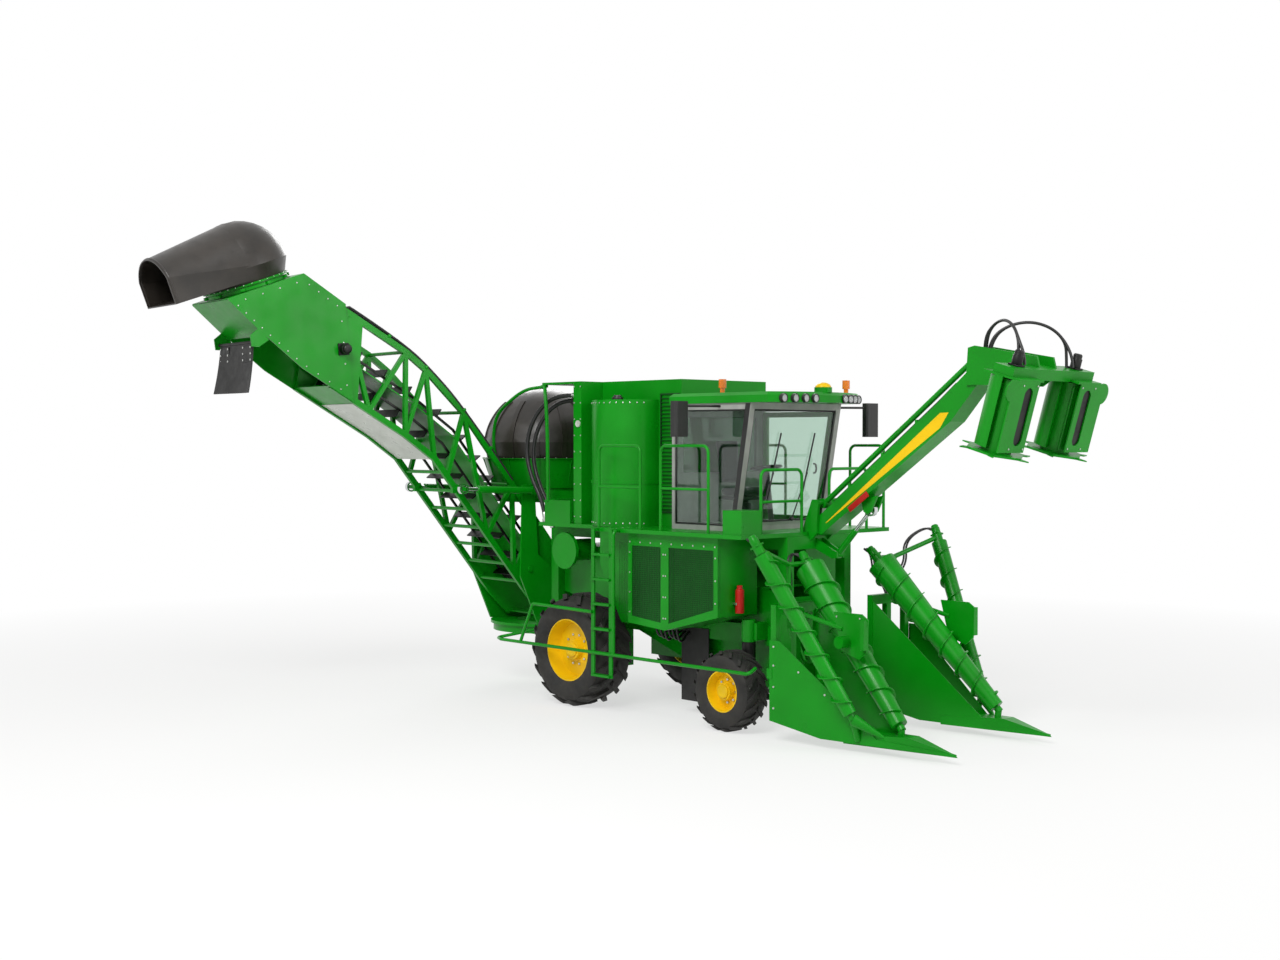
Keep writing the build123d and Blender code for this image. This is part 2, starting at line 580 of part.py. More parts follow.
def cab_side_outline(inset):
    """Outline of the cab's side opening between the rear post and the sloping front pillar."""
    floor = UPPER_BEAM_Z[1] + DECK_THICKNESS + CAB_FLOOR
    slope = (CAB_HEAD - CAB_SILL) / (CAB_TOP - floor)
    low, high = floor + inset, CAB_TOP - CAB_PILLAR - inset
    front_low = CAB_SILL - CAB_PILLAR - inset + slope * inset
    front_high = front_low + slope * (high - low)
    rear = CAB_REAR + CAB_WALL + inset
    return [(rear, low), (front_low, low), (front_high, high), (rear, high)]


def cab_frame():
    """Cab floor, rear wall with its window, pillars and roof rails, all round an open inside."""
    deck_top = UPPER_BEAM_Z[1] + DECK_THICKNESS
    floor = deck_top + CAB_FLOOR
    outline = [(CAB_REAR, deck_top), (CAB_SILL, deck_top), (CAB_SILL, floor), (CAB_HEAD, CAB_TOP), (CAB_REAR, CAB_TOP)]
    half = CAB_HALF_WIDTH
    shell = plate_xz(outline, (-half, half))
    room = [(CAB_REAR + CAB_WALL, floor), (CAB_SILL - CAB_WALL, floor),
            (CAB_HEAD - CAB_WALL, CAB_TOP), (CAB_REAR + CAB_WALL, CAB_TOP)]
    shell -= plate_xz(room, (-half + CAB_WALL, half - CAB_WALL))
    shell -= plate_xz(cab_side_outline(0), (-half - 1, half + 1))
    # Windscreen opening
    front_low, front_high = floor + 40, CAB_TOP - CAB_PILLAR
    screen = [(CAB_SILL - 200, front_low), (CAB_SILL + 200, front_low), (CAB_HEAD + 200, front_high),
              (CAB_HEAD - 300, front_high)]
    shell -= plate_xz(screen, (-half + CAB_PILLAR, half - CAB_PILLAR))
    # Rear window
    shell -= block((CAB_REAR - 1, CAB_REAR + CAB_WALL + 1), (-half + 160, half - 160), (floor + 650, CAB_TOP - 160))
    return join([shell] + [hinge_half(z, -1) for z in HINGE_Z])


def hinge_half(z, side):
    """Half of a door hinge: the post's lower half with its pin (-1) or the door's upper half (+1)."""
    x, y = CAB_REAR + CAB_WALL + DOOR_GAP / 2, CAB_HALF_WIDTH + HINGE_Y
    if side < 0:
        leaf = block((x - 45, x), (CAB_HALF_WIDTH - 2, y - 4), (z - 60, z - 1))
        return join([leaf, along_z(x, y, (z - 60, z - 1), HINGE_RADIUS), along_z(x, y, (z - 60, z + 60), HINGE_PIN)])
    leaf = block((x, x + 60), (CAB_HALF_WIDTH - 2, y - 4), (z, z + 60))
    return leaf + along_z(x, y, (z, z + 60), HINGE_RADIUS) - along_z(x, y, (z - 1, z + 61), HINGE_PIN + FIT)


def cab_glass():
    """Windscreen, right window and rear window."""
    floor = UPPER_BEAM_Z[1] + DECK_THICKNESS + CAB_FLOOR
    slope = (CAB_HEAD - CAB_SILL) / (CAB_TOP - floor)
    half = CAB_HALF_WIDTH
    low, high = floor + 40, CAB_TOP - CAB_PILLAR
    def front(z, offset):
        return CAB_SILL + slope * (z - floor) - offset
    screen = plate_xz([(front(low, 30), low), (front(low, 30 - GLASS), low), (front(high, 30 - GLASS), high),
                       (front(high, 30), high)], (-half + CAB_PILLAR, half - CAB_PILLAR))
    right = plate_xz(cab_side_outline(0), (-half + 20, -half + 20 + GLASS))
    rear = block((CAB_REAR + 20, CAB_REAR + 20 + GLASS), (-half + 160, half - 160), (floor + 650, CAB_TOP - 160))
    return [screen, right, rear]


def cab_door():
    """Left door: a frame as thick as the wall, with its window cut."""
    half = CAB_HALF_WIDTH
    door = plate_xz(cab_side_outline(DOOR_GAP), (half - CAB_WALL, half))
    door -= plate_xz(cab_side_outline(DOOR_GAP + DOOR_FRAME), (half - CAB_WALL - 1, half + 1))
    return join([door] + [hinge_half(z, 1) for z in HINGE_Z])


def door_glass():
    """Pane in the left door."""
    middle = CAB_HALF_WIDTH - CAB_WALL / 2
    return plate_xz(cab_side_outline(DOOR_GAP + DOOR_FRAME), (middle - GLASS / 2, middle + GLASS / 2))


def cab_roof():
    """Roof with a bowed front edge that overhangs the windscreen."""
    half = CAB_HALF_WIDTH + 30
    corner = ROOF_FRONT - 260
    edge = Polyline((corner, half), (CAB_REAR - 20, half), (CAB_REAR - 20, -half), (corner, -half))
    bow = ThreePointArc((corner, -half), (ROOF_FRONT, 0), (corner, half))
    slab = extrude(make_face(edge + bow), amount=ROOF_THICKNESS)
    slab = chamfer(slab.faces().sort_by(Axis.Z)[-1].edges(), 40)
    roof = Pos(0, 0, CAB_TOP) * slab
    dome_x = ROOF_FRONT - 130
    roof += along_z(dome_x, 0, (CAB_TOP + ROOF_THICKNESS - 5, CAB_TOP + ROOF_THICKNESS + 60), 110)
    return roof


def work_lamps():
    """Lamps along the roof's front edge."""
    lamps = []
    half = CAB_HALF_WIDTH + 30
    for y in (-700, -560, -420, -280, 280, 420, 560, 700):
        x = ROOF_FRONT - 260 * (y / half) ** 2
        lamps.append(rod((x - 40, y, CAB_TOP + 50), (x + 25, y, CAB_TOP + 50), 45))
    return lamps


def beacons():
    """Two rotating-light beacons on the roof."""
    top = CAB_TOP + ROOF_THICKNESS
    rows = [(2220, -720), (3000, 740)]
    return [along_z(x, y, (top, top + 60), 30) + along_z(x, y, (top + 60, top + 170), 48) for x, y in rows]


def mirrors():
    """Two mirrors on arms from the roof rails."""
    result = []
    rows = [(-1, 2300, 2120), (1, 2700, 2880)]
    for sign, root_x, head_x in rows:
        root = CAB_TOP - 40
        arm = bent_tube([(root_x, sign * CAB_HALF_WIDTH, root), (root_x, sign * 1000, root),
                         (head_x, sign * 1300, root)],
                        15, 40)
        head = Pos(head_x, sign * 1380, root - 160) * Box(110, 240, 440)
        head = fillet(head.edges().filter_by(Axis.Z), 40)
        result.append(arm + head)
    return result


def seat():
    """Driver's seat on a pedestal."""
    floor = UPPER_BEAM_Z[1] + DECK_THICKNESS + CAB_FLOOR
    x = 1900
    return join([along_z(x, 0, (floor, floor + 330), 150),
                 block((x - 260, x + 260), (-260, 260), (floor + 330, floor + 460)),
                 plate_xz([(x - 270, floor + 430), (x - 150, floor + 460), (x - 250, floor + 1120),
                           (x - 360, floor + 1120)],
                          (-240, 240))])


def console():
    """Steering column with its wheel."""
    floor = UPPER_BEAM_Z[1] + DECK_THICKNESS + CAB_FLOOR
    foot, top = (2400, 0, floor), (2300, 0, floor + 720)
    column = block((2340, 2440), (-60, 60), (floor, floor + 60)) + rod((2390, 0, floor + 20), top, 35)
    wheel = Plane(origin=top, z_dir=Vector(*top) - Vector(*foot)) * Torus(190, 16)
    spokes = bar((2300, -195, floor + 720), (2300, 195, floor + 720), 30, 20, side=(1, 0, 0))
    return join([column, wheel, spokes])


def extractor_base():
    """Primary extractor's chamber behind the chopper, with the ring that carries the hood and a fan bar."""
    z0, z1 = EXTRACTOR_Z
    ring = along_z(SLEW_X, 0, (z0, z1), EXTRACTOR_RADIUS) - along_z(SLEW_X, 0, (z0, z1), EXTRACTOR_RADIUS - 30)
    neck = block((SLEW_X, FRAME_REAR + 60), (-560, 560), (z0, z0 + 60))
    neck -= along_z(SLEW_X, 0, (z0, z1), EXTRACTOR_RADIUS - 20)
    bulkhead = block((FRAME_REAR, FRAME_REAR + 60), (-FRAME_OUTER, FRAME_OUTER), (UPPER_BEAM_Z[1], z0 + 60))
    beam = block((SLEW_X - 40, SLEW_X + 40), (-EXTRACTOR_RADIUS + 15, EXTRACTOR_RADIUS - 15), (z0, z0 + 50))
    boss = along_z(SLEW_X, 0, (z0, z0 + FAN_SEAT), 90)
    base = join([ring, neck, bulkhead, beam, boss])
    return base - along_z(SLEW_X, 0, (z0, z0 + FAN_SEAT), FAN_SHAFT + FIT)


def fan(radius):
    """Four-bladed extractor fan about Z, its shaft reaching down from its hub."""
    pieces = [Pos(0, 0, 50) * Cylinder(120, 100), Pos(0, 0, -28) * Cylinder(FAN_SHAFT, 60)]
    for angle in range(0, 360, 90):
        pieces.append(Rot(0, 0, angle) * Pos(radius / 2, 0, 50) * Rot(35, 0, 0) * Box(radius, 150, 12))
    return join(pieces)


def hood(foot_radius, bulge, waist, height, reach, half_width, low, high, ribs):
    """Plastic elbow hood: a dome open below that runs into an arched spout towards +X."""
    def dome(inset):
        foot, belly, top = foot_radius - inset, foot_radius + bulge - inset, height - inset
        rise = top - waist
        crown_radius = (belly ** 2 + rise ** 2) / (2 * rise)
        half_turn = asin(belly / crown_radius) / 2
        shoulder = (crown_radius * sin(half_turn), 0, top - crown_radius * (1 - cos(half_turn)))
        arc = ThreePointArc((0, 0, top), shoulder, (belly, 0, waist))
        below = [(foot, 0, -inset), (0, 0, -inset)] if inset > 0 else [(0, 0, 0)]
        rest = Polyline((belly, 0, waist), (foot, 0, 0), *below, (0, 0, top))
        return revolve(make_face(arc + rest), axis=Axis.Z)

    def section(x, low_half, half, side, bottom, crown):
        lines = Polyline((x, half, side), (x, low_half, bottom), (x, -low_half, bottom), (x, -half, side))
        return make_face(lines + ThreePointArc((x, -half, side), (x, 0, crown), (x, half, side)))

    def body(inset):
        belly, mouth, bottom = foot_radius + bulge - inset, half_width - inset, low + inset
        low_half = foot_radius - inset + bulge * min(1, low / waist)
        end = reach if inset == 0 else reach + 5
        spout = loft([section(0, low_half, belly, waist, bottom, height - inset),
                      section(end, mouth, mouth, high - inset - 0.6 * mouth, bottom, high - inset)])
        return dome(inset) + spout

    shell = body(0)
    if ribs:
        # Ribs down the dome's back, moulded proud of it
        outer, half_rib = 2 * (foot_radius + bulge), HOOD_RIB_WIDTH / 2
        rib = block((0, outer), (-half_rib, half_rib), (0.08 * height, 0.86 * height))
        proud = dome(-HOOD_RIB_HEIGHT)
        turns = [360 * (i + 0.5) / ribs for i in range(ribs)]
        shell = join([shell] + [Rot(0, 0, turn) * rib & proud for turn in turns if 90 < turn < 270])
    return shell - body(HOOD_WALL)


def offset_line(points, distance):
    """The line of points moved sideways, upwards for a positive distance."""
    strip = band(points, 2 * abs(distance))
    count = len(points)
    return strip[:count] if distance > 0 else strip[count:][::-1]


def elevator_frame():
    """Two side trusses joined by rungs, floor and foot plates, with the lift pins and cylinder lugs."""
    low, high = TRUSS_T
    lower, upper = band(LOWER_CHORD, CHORD_WIDTH), band(UPPER_CHORD, CHORD_WIDTH)
    foot = [(-400, 970), (345, 970), (920, 1660), (560, 2420), (60, 1780), (-400, 1500)]
    diagonals = [((900, 1645), (930, 2900)), ((1350, 2212), (930, 2900)), ((1350, 2212), (1730, 3910)),
                 ((2000, 3030), (1730, 3910)), ((2200, 3283), (2330, 4485)), ((2650, 3600), (2330, 4485)),
                 ((2650, 3600), (2640, 4715)), ((3200, 3920), (2640, 4715)), ((3200, 3920), (3560, 5230))]
    head = [(3380, 4040), (3760, 4245), (3620, 5200), (3300, 5060)]
    outlines = [lower, upper, foot, head] + [band([a, b], 55) for a, b in diagonals]
    side = join([plate_xz(outline, (low, high)) for outline in outlines])
    lug = [(CYLINDER_EYE[0] - 110, CYLINDER_EYE[1] - 60), (CYLINDER_EYE[0] + 60, CYLINDER_EYE[1] - 60),
           (CYLINDER_EYE[0] + 60, CYLINDER_EYE[1] + 60), (CYLINDER_EYE[0] - 30, CYLINDER_EYE[1] + 60)]
    side = join([side, plate_xz(lug, (low, high)),
                 along_y(*LIFT_PIVOT, (high - 10, MAST_T[1] + 20), LIFT_PIN_RADIUS),
                 along_y(*CYLINDER_EYE, (high - 10, CYLINDER_T + 45), CYLINDER_PIN)])
    pieces = both_sides(side)
    span = (-low - 5, low + 5)
    for i in range(7):
        share = (i + 0.5) / 7
        x = 700 + share * 1450
        z = 1330 + (x - 650) * 1.26
        pieces.append(along_y(x, z, span, 24))
    pieces.append(plate_xz(band(LOWER_CHORD[3:], 16), span))
    pieces.append(plate_xz(band(LOWER_CHORD[:2], 16), span))
    (xa, za), (xb, zb) = LOWER_CHORD[2], LOWER_CHORD[-1]
    floor = offset_line([(xa + 260, za + 327), *LOWER_CHORD[3:-1], (xb - 240, zb - 139)], 430)
    pieces.append(plate_xz(band(floor, 14), span))
    for x, z in ((930, 2900), (1730, 3910), (2640, 4715)):
        pieces.append(along_y(x, z, span, 24))
    return join(pieces)


def elevator_flights():
    """Slat chain: two strands round the head and tail shafts, with slats across them."""
    top_run = offset_line(LOWER_CHORD[2:], 530)
    low_run = offset_line(LOWER_CHORD[2:], 280)
    ends = [((top_run[i][0] + low_run[i][0]) / 2, (top_run[i][1] + low_run[i][1]) / 2) for i in (0, -1)]
    disc = hypot(top_run[0][0] - low_run[0][0], top_run[0][1] - low_run[0][1]) / 2 + 15
    low, high = 385, 415
    strand = join([plate_xz(band(run, 30), (low, high)) for run in (top_run, low_run)] +
                  [along_y(x, z, (low, high), disc) for x, z in ends])
    pieces = both_sides(strand)
    for x, z in ends:
        pieces.append(along_y(x, z, (-TRUSS_T[0], TRUSS_T[0]), 40))
    for run, rise in ((top_run, 60), (low_run, -60)):
        for (xa, za), (xb, zb) in zip(run, run[1:]):
            length = hypot(xb - xa, zb - za)
            turn = degrees(atan2(zb - za, xb - xa))
            count = int(length // FLIGHT_PITCH)
            for i in range(count):
                share = (i + 0.5) / count
                place = Pos(xa + share * (xb - xa), 0, za + share * (zb - za)) * Rot(0, -turn, 0)
                pieces.append(place * Pos(0, 0, rise) * Box(16, 860, 110))
    return join(pieces)


def slew_table():
    """Turntable on the ring with the two masts that carry the elevator and its lift cylinders."""
    low = RING_Z[1] + SEAT
    top = low + TABLE_THICKNESS
    plate = along_z(0, 0, (low, top), TABLE_RADIUS) - along_z(0, 0, (low, top), RING_RADII[0])
    mast = [(-450, top - 1), (560, top - 1), (860, 1600), (820, 2900), (620, 2900), (560, 1900), (-450, 1100)]
    side = plate_xz(mast, MAST_T) + along_y(*CYLINDER_BASE, (MAST_T[1] - 5, CYLINDER_T + 45), CYLINDER_PIN)
    side -= along_y(*LIFT_PIVOT, (MAST_T[0] - 1, MAST_T[1] + 1), LIFT_PIN_RADIUS + FIT)
    return join([plate] + both_sides(side))


def cylinder_line(base, eye):
    """A function that gives a place on the line from base to eye by its distance, and the line's length."""
    length = hypot(eye[0] - base[0], eye[1] - base[1])
    ux, uz = (eye[0] - base[0]) / length, (eye[1] - base[1]) / length
    def at(distance):
        return (base[0] + ux * distance, base[1] + uz * distance)
    return at, length


def lift_barrels():
    """Lift cylinders' barrels, pinned to the masts."""
    at, length = cylinder_line(CYLINDER_BASE, CYLINDER_EYE)
    (xa, za), (xb, zb) = at(45), at(0.80 * length)
    barrel = rod((xa, CYLINDER_T, za), (xb, CYLINDER_T, zb), 50) + along_y(
        *CYLINDER_BASE, (CYLINDER_T - 35, CYLINDER_T + 35), 58)
    (xc, zc) = at(0.3 * length)
    bore = rod((xc, CYLINDER_T, zc), (xb, CYLINDER_T, zb), 30 + FIT)
    barrel -= bore
    barrel -= along_y(*CYLINDER_BASE, (CYLINDER_T - 40, CYLINDER_T + 40), CYLINDER_PIN + FIT)
    return both_sides(barrel)


def lift_rods():
    """Lift cylinders' rods, each ending in an eye round the elevator's pin."""
    at, length = cylinder_line(CYLINDER_BASE, CYLINDER_EYE)
    eye_bore = CYLINDER_PIN + CYLINDER_EYE_DRIFT
    (xa, za), (xb, zb) = at(0.36 * length), at(length - eye_bore - 10)
    piece = rod((xa, CYLINDER_T, za), (xb, CYLINDER_T, zb), 30) + along_y(
        *CYLINDER_EYE, (CYLINDER_T - 30, CYLINDER_T + 30), eye_bore + 22)
    piece -= along_y(*CYLINDER_EYE, (CYLINDER_T - 40, CYLINDER_T + 40), eye_bore)
    return both_sides(piece)


def housing_plane():
    """Plane of the secondary extractor's ring: its centre and its tilted normal."""
    (xa, za), (xb, zb) = HOUSING[3], HOUSING[4]
    along = Vector(xa - xb, 0, za - zb)
    return Plane(origin=((xa + xb) / 2, 0, (za + zb) / 2), x_dir=along, z_dir=Vector(-along.Z, 0, along.X))


def ring_radius():
    """Radius that fits the secondary ring between the housing's corners."""
    (xa, za), (xb, zb) = HOUSING[3], HOUSING[4]
    return hypot(xa - xb, za - zb) / 2


def secondary_housing():
    """Elevator's head housing, open below, with the ring, fan bar and collar of the secondary extractor."""
    t = HOUSING_T
    skin = 20
    x, z = FLAP_PIVOT
    ear = [(x - 180, z + 30), (x - 50, z - 60), (x + 50, z - 60), (x + 70, z + 80), (x - 60, z + 190)]
    sides = [plate_xz(outline, y) for outline in (HOUSING, ear) for y in both_sides_y(TRUSS_T[1], t)]
    spans = [HOUSING[2:4], HOUSING[3:5], HOUSING[4:6]]
    walls = [plate_xz(band(pair, skin), (-t, t)) for pair in spans]
    plane = housing_plane()
    radius = ring_radius() - 20
    hole = plane * Cylinder(radius - 30, 60)
    collar = plane * (Pos(0, 0, 50) * (Cylinder(radius, 100) - Cylinder(radius - 20, 101)))
    shell = join(sides + walls) - hole
    drop = SECONDARY_FAN_DROP
    beam = plane * (Pos(0, 0, 20 - drop) * Box(60, 2 * TRUSS_T[1] + 20, 40))
    boss = plane * (Pos(0, 0, 25 - drop) * Cylinder(80, 90))
    bore = plane * (Pos(0, 0, 25 - drop) * Cylinder(FAN_SHAFT + FIT, 91))
    return join([shell, collar, beam, boss]) - bore


def bin_flap():
    """Rubber bin flap hanging from a rod under the housing's outer end."""
    x, z = FLAP_PIVOT
    sheet = block((x - 9, x + 9), (-500, 500), (z - 640, z + 5))
    return sheet + along_y(x, z, (-TRUSS_T[1] + SEAT, TRUSS_T[1] - SEAT), 20)


# Topper

def topper_boom():
    """Box boom with a gooseneck, bored for its pins."""
    (xa, za), (xb, zb) = BOOM_PIVOT, HEAD_PIVOT
    outline = [(xa - 60, za + 60), (xb - 480, zb - 270), (xb - 70, zb + 75), (xb + 80, zb - 60), (xb - 290, zb - 480),
               (xa + 90, za - 80)]
    boom = plate_xz(outline, (-BOOM_HALF_WIDTH, BOOM_HALF_WIDTH))
    boom += along_y(xa, za, (-BOOM_HALF_WIDTH, BOOM_HALF_WIDTH), 95)
    boom += along_y(xb, zb, (-BOOM_HALF_WIDTH, BOOM_HALF_WIDTH), 100)
    ex, ez = TOPPER_EYE
    lug = [(ex - 60, ez - 20), (ex, ez - 50), (ex + 50, ez - 20), (ex + 150, ez + 180), (ex - 100, ez + 120)]
    for y in both_sides_y(45, 75):
        boom += plate_xz(lug, y)
    boom += along_y(ex, ez, (-75, 75), CYLINDER_PIN)
    boom -= along_y(xa, za, (-BOOM_HALF_WIDTH - 1, BOOM_HALF_WIDTH + 1), BOOM_PIN_RADIUS + FIT)
    boom -= along_y(xb, zb, (-BOOM_HALF_WIDTH - 1, BOOM_HALF_WIDTH + 1), BOOM_PIN_RADIUS + FIT)
    return boom


def link_end():
    """Place of the upper link's far pin, which makes a parallelogram with the boom."""
    return (HEAD_PIVOT[0] + LINK_PIVOT[0] - BOOM_PIVOT[0], HEAD_PIVOT[1] + LINK_PIVOT[1] - BOOM_PIVOT[1])


def topper_link():
    """Upper parallel link with an eye at each end."""
    (xa, za), (xb, zb) = LINK_PIVOT, link_end()
    link = rod((xa, 0, za), (xb, 0, zb), LINK_RADIUS)
    for x, z in (LINK_PIVOT, link_end()):
        link += along_y(x, z, (-50, 50), 60)
    for x, z in (LINK_PIVOT, link_end()):
        link -= along_y(x, z, (-51, 51), CYLINDER_PIN + FIT)
    return link


def drum_plane(sign):
    """Plane of one topper disc: its centre and the drum's tilted axis."""
    x, y, z = TOPPER_DISC
    tilt = radians(TOPPER_TILT)
    return Plane(origin=(x, sign * y, z), x_dir=(cos(tilt), 0, -sin(tilt)), z_dir=(sin(tilt), 0, cos(tilt)))


def topper_head():
    """Topper head: brackets on the boom's end, a cross beam over the drums and a shield behind each drum."""
    (xa, za), (xb, zb) = HEAD_PIVOT, link_end()
    plane = drum_plane(0)
    top = TOPPER_DRUM_HEIGHT + 40
    beam = plane * (Pos(0, 0, top + 60) * Box(260, 2 * TOPPER_DISC[1] + 420, 120))
    pieces = [beam]
    cheek = [(xa - 60, za - 70), (xa + 60, za - 70), (6280, 4120), (6470, 4240), (6420, 4440),
             (xb + 30, zb + 70), (xb - 60, zb + 50)]
    for y in both_sides_y(BOOM_HALF_WIDTH + 5, BOOM_HALF_WIDTH + 35):
        pieces.append(plate_xz(cheek, y))
    pieces.append(along_y(xa, za, (-BOOM_HALF_WIDTH - 35, BOOM_HALF_WIDTH + 35), BOOM_PIN_RADIUS))
    pieces.append(along_y(xb, zb, (-BOOM_HALF_WIDTH - 35, BOOM_HALF_WIDTH + 35), CYLINDER_PIN))
    # Round shroud behind each drum, a top plate and a slotted deflector in front
    shroud = TOPPER_DRUM_RADIUS + TOPPER_SHROUD_GAP
    low = TOPPER_SHROUD_Z
    tall = top + 10 - low
    shell = Cylinder(shroud + 14, tall) - Cylinder(shroud, tall + 1)
    shell -= Pos(shroud, 0, 0) * Box(2 * shroud - 60, 3 * shroud, tall + 1)
    slot = Box(40, 150, 0.62 * tall) + [Pos(0, 0, z * 0.31 * tall) * Rot(0, 90, 0) * Cylinder(75, 40) for z in (-1, 1)]
    for sign in (-1, 1):
        y = sign * TOPPER_DISC[1]
        pieces.append(plane * (Pos(0, y, low + tall / 2) * shell))
        pieces.append(plane * (Pos(0, y, top + 12) * Box(2 * shroud + 28, 460, 24)))
        front = Pos(0, sign * 75, 0) * Box(16, 480, tall)
        front += Pos(0, sign * 300, 0.36 * tall) * Rot(0, 90, 0) * Cylinder(120, 16)
        pieces.append(plane * (Pos(shroud + 6, y, low + tall / 2) * (front - slot)))
    head = join(pieces)
    for sign in (-1, 1):
        head -= drum_plane(sign) * (Pos(0, 0, top + 40) * Cylinder(TOPPER_SHAFT_RADIUS + FIT, 90))
    return head


def topper_drum(sign):
    """Gathering drum over its knife disc, with ribs and blades."""
    tip, plate = TOPPER_DISC_RADIUS, TOPPER_DISC_RADIUS - TOPPER_BLADE_REACH
    pieces = [Pos(0, 0, TOPPER_DRUM_HEIGHT / 2 + 20) * Cylinder(TOPPER_DRUM_RADIUS, TOPPER_DRUM_HEIGHT),
              Pos(0, 0, 10) * extrude(RegularPolygon(plate, TOPPER_BLADES), 12, both=True),
              Pos(0, 0, TOPPER_DRUM_HEIGHT + 40) * Cylinder(TOPPER_SHAFT_RADIUS, 80)]
    half = TOPPER_BLADE_WIDTH / 2
    blade = plate_xy([(plate - 120, -half), (tip - 70, -half), (tip, 0.4 * half), (plate - 120, half)], (2, 16))
    pieces += [Rot(0, 0, 360 * i / TOPPER_BLADES) * blade for i in range(TOPPER_BLADES)]
    rib = Pos(TOPPER_DRUM_RADIUS, 0, TOPPER_DRUM_HEIGHT / 2 + 20) * Box(50, 16, TOPPER_DRUM_HEIGHT - 60)
    pieces += [Rot(0, 0, angle) * rib for angle in range(0, 360, 45)]
    return drum_plane(sign) * join(pieces)


def topper_barrel():
    """Topper lift cylinder's barrel."""
    at, length = cylinder_line(TOPPER_BASE, TOPPER_EYE)
    (xa, za), (xb, zb), (xc, zc) = at(40), at(0.55 * length), at(0.12 * length)
    barrel = rod((xa, 0, za), (xb, 0, zb), 38) + along_y(*TOPPER_BASE, (-40, 40), 50)
    barrel -= rod((xc, 0, zc), (xb, 0, zb), 24 + FIT)
    return barrel - along_y(*TOPPER_BASE, (-41, 41), CYLINDER_PIN + FIT)


def topper_rod():
    """Topper lift cylinder's rod, its eye round the boom's pin."""
    at, length = cylinder_line(TOPPER_BASE, TOPPER_EYE)
    eye_bore = CYLINDER_PIN + TOPPER_EYE_DRIFT
    (xa, za), (xb, zb) = at(0.48 * length), at(length - eye_bore - 8)
    piece = rod((xa, 0, za), (xb, 0, zb), 24) + along_y(*TOPPER_EYE, (-30, 30), eye_bore + 18)
    return piece - along_y(*TOPPER_EYE, (-31, 31), eye_bore)


# Crop dividers

def wall_on(start, end, outline, thickness):
    """Upright sheet over a line in plan; its outline is in distance along the line and height."""
    along = Vector(end[0] - start[0], end[1] - start[1], 0)
    plane = Plane(origin=(start[0], start[1], 0), x_dir=along, z_dir=along.cross(Vector(0, 0, 1)))
    face = plane * make_face(Polyline(*outline, close=True))
    return extrude(face, amount=thickness / 2, both=True)


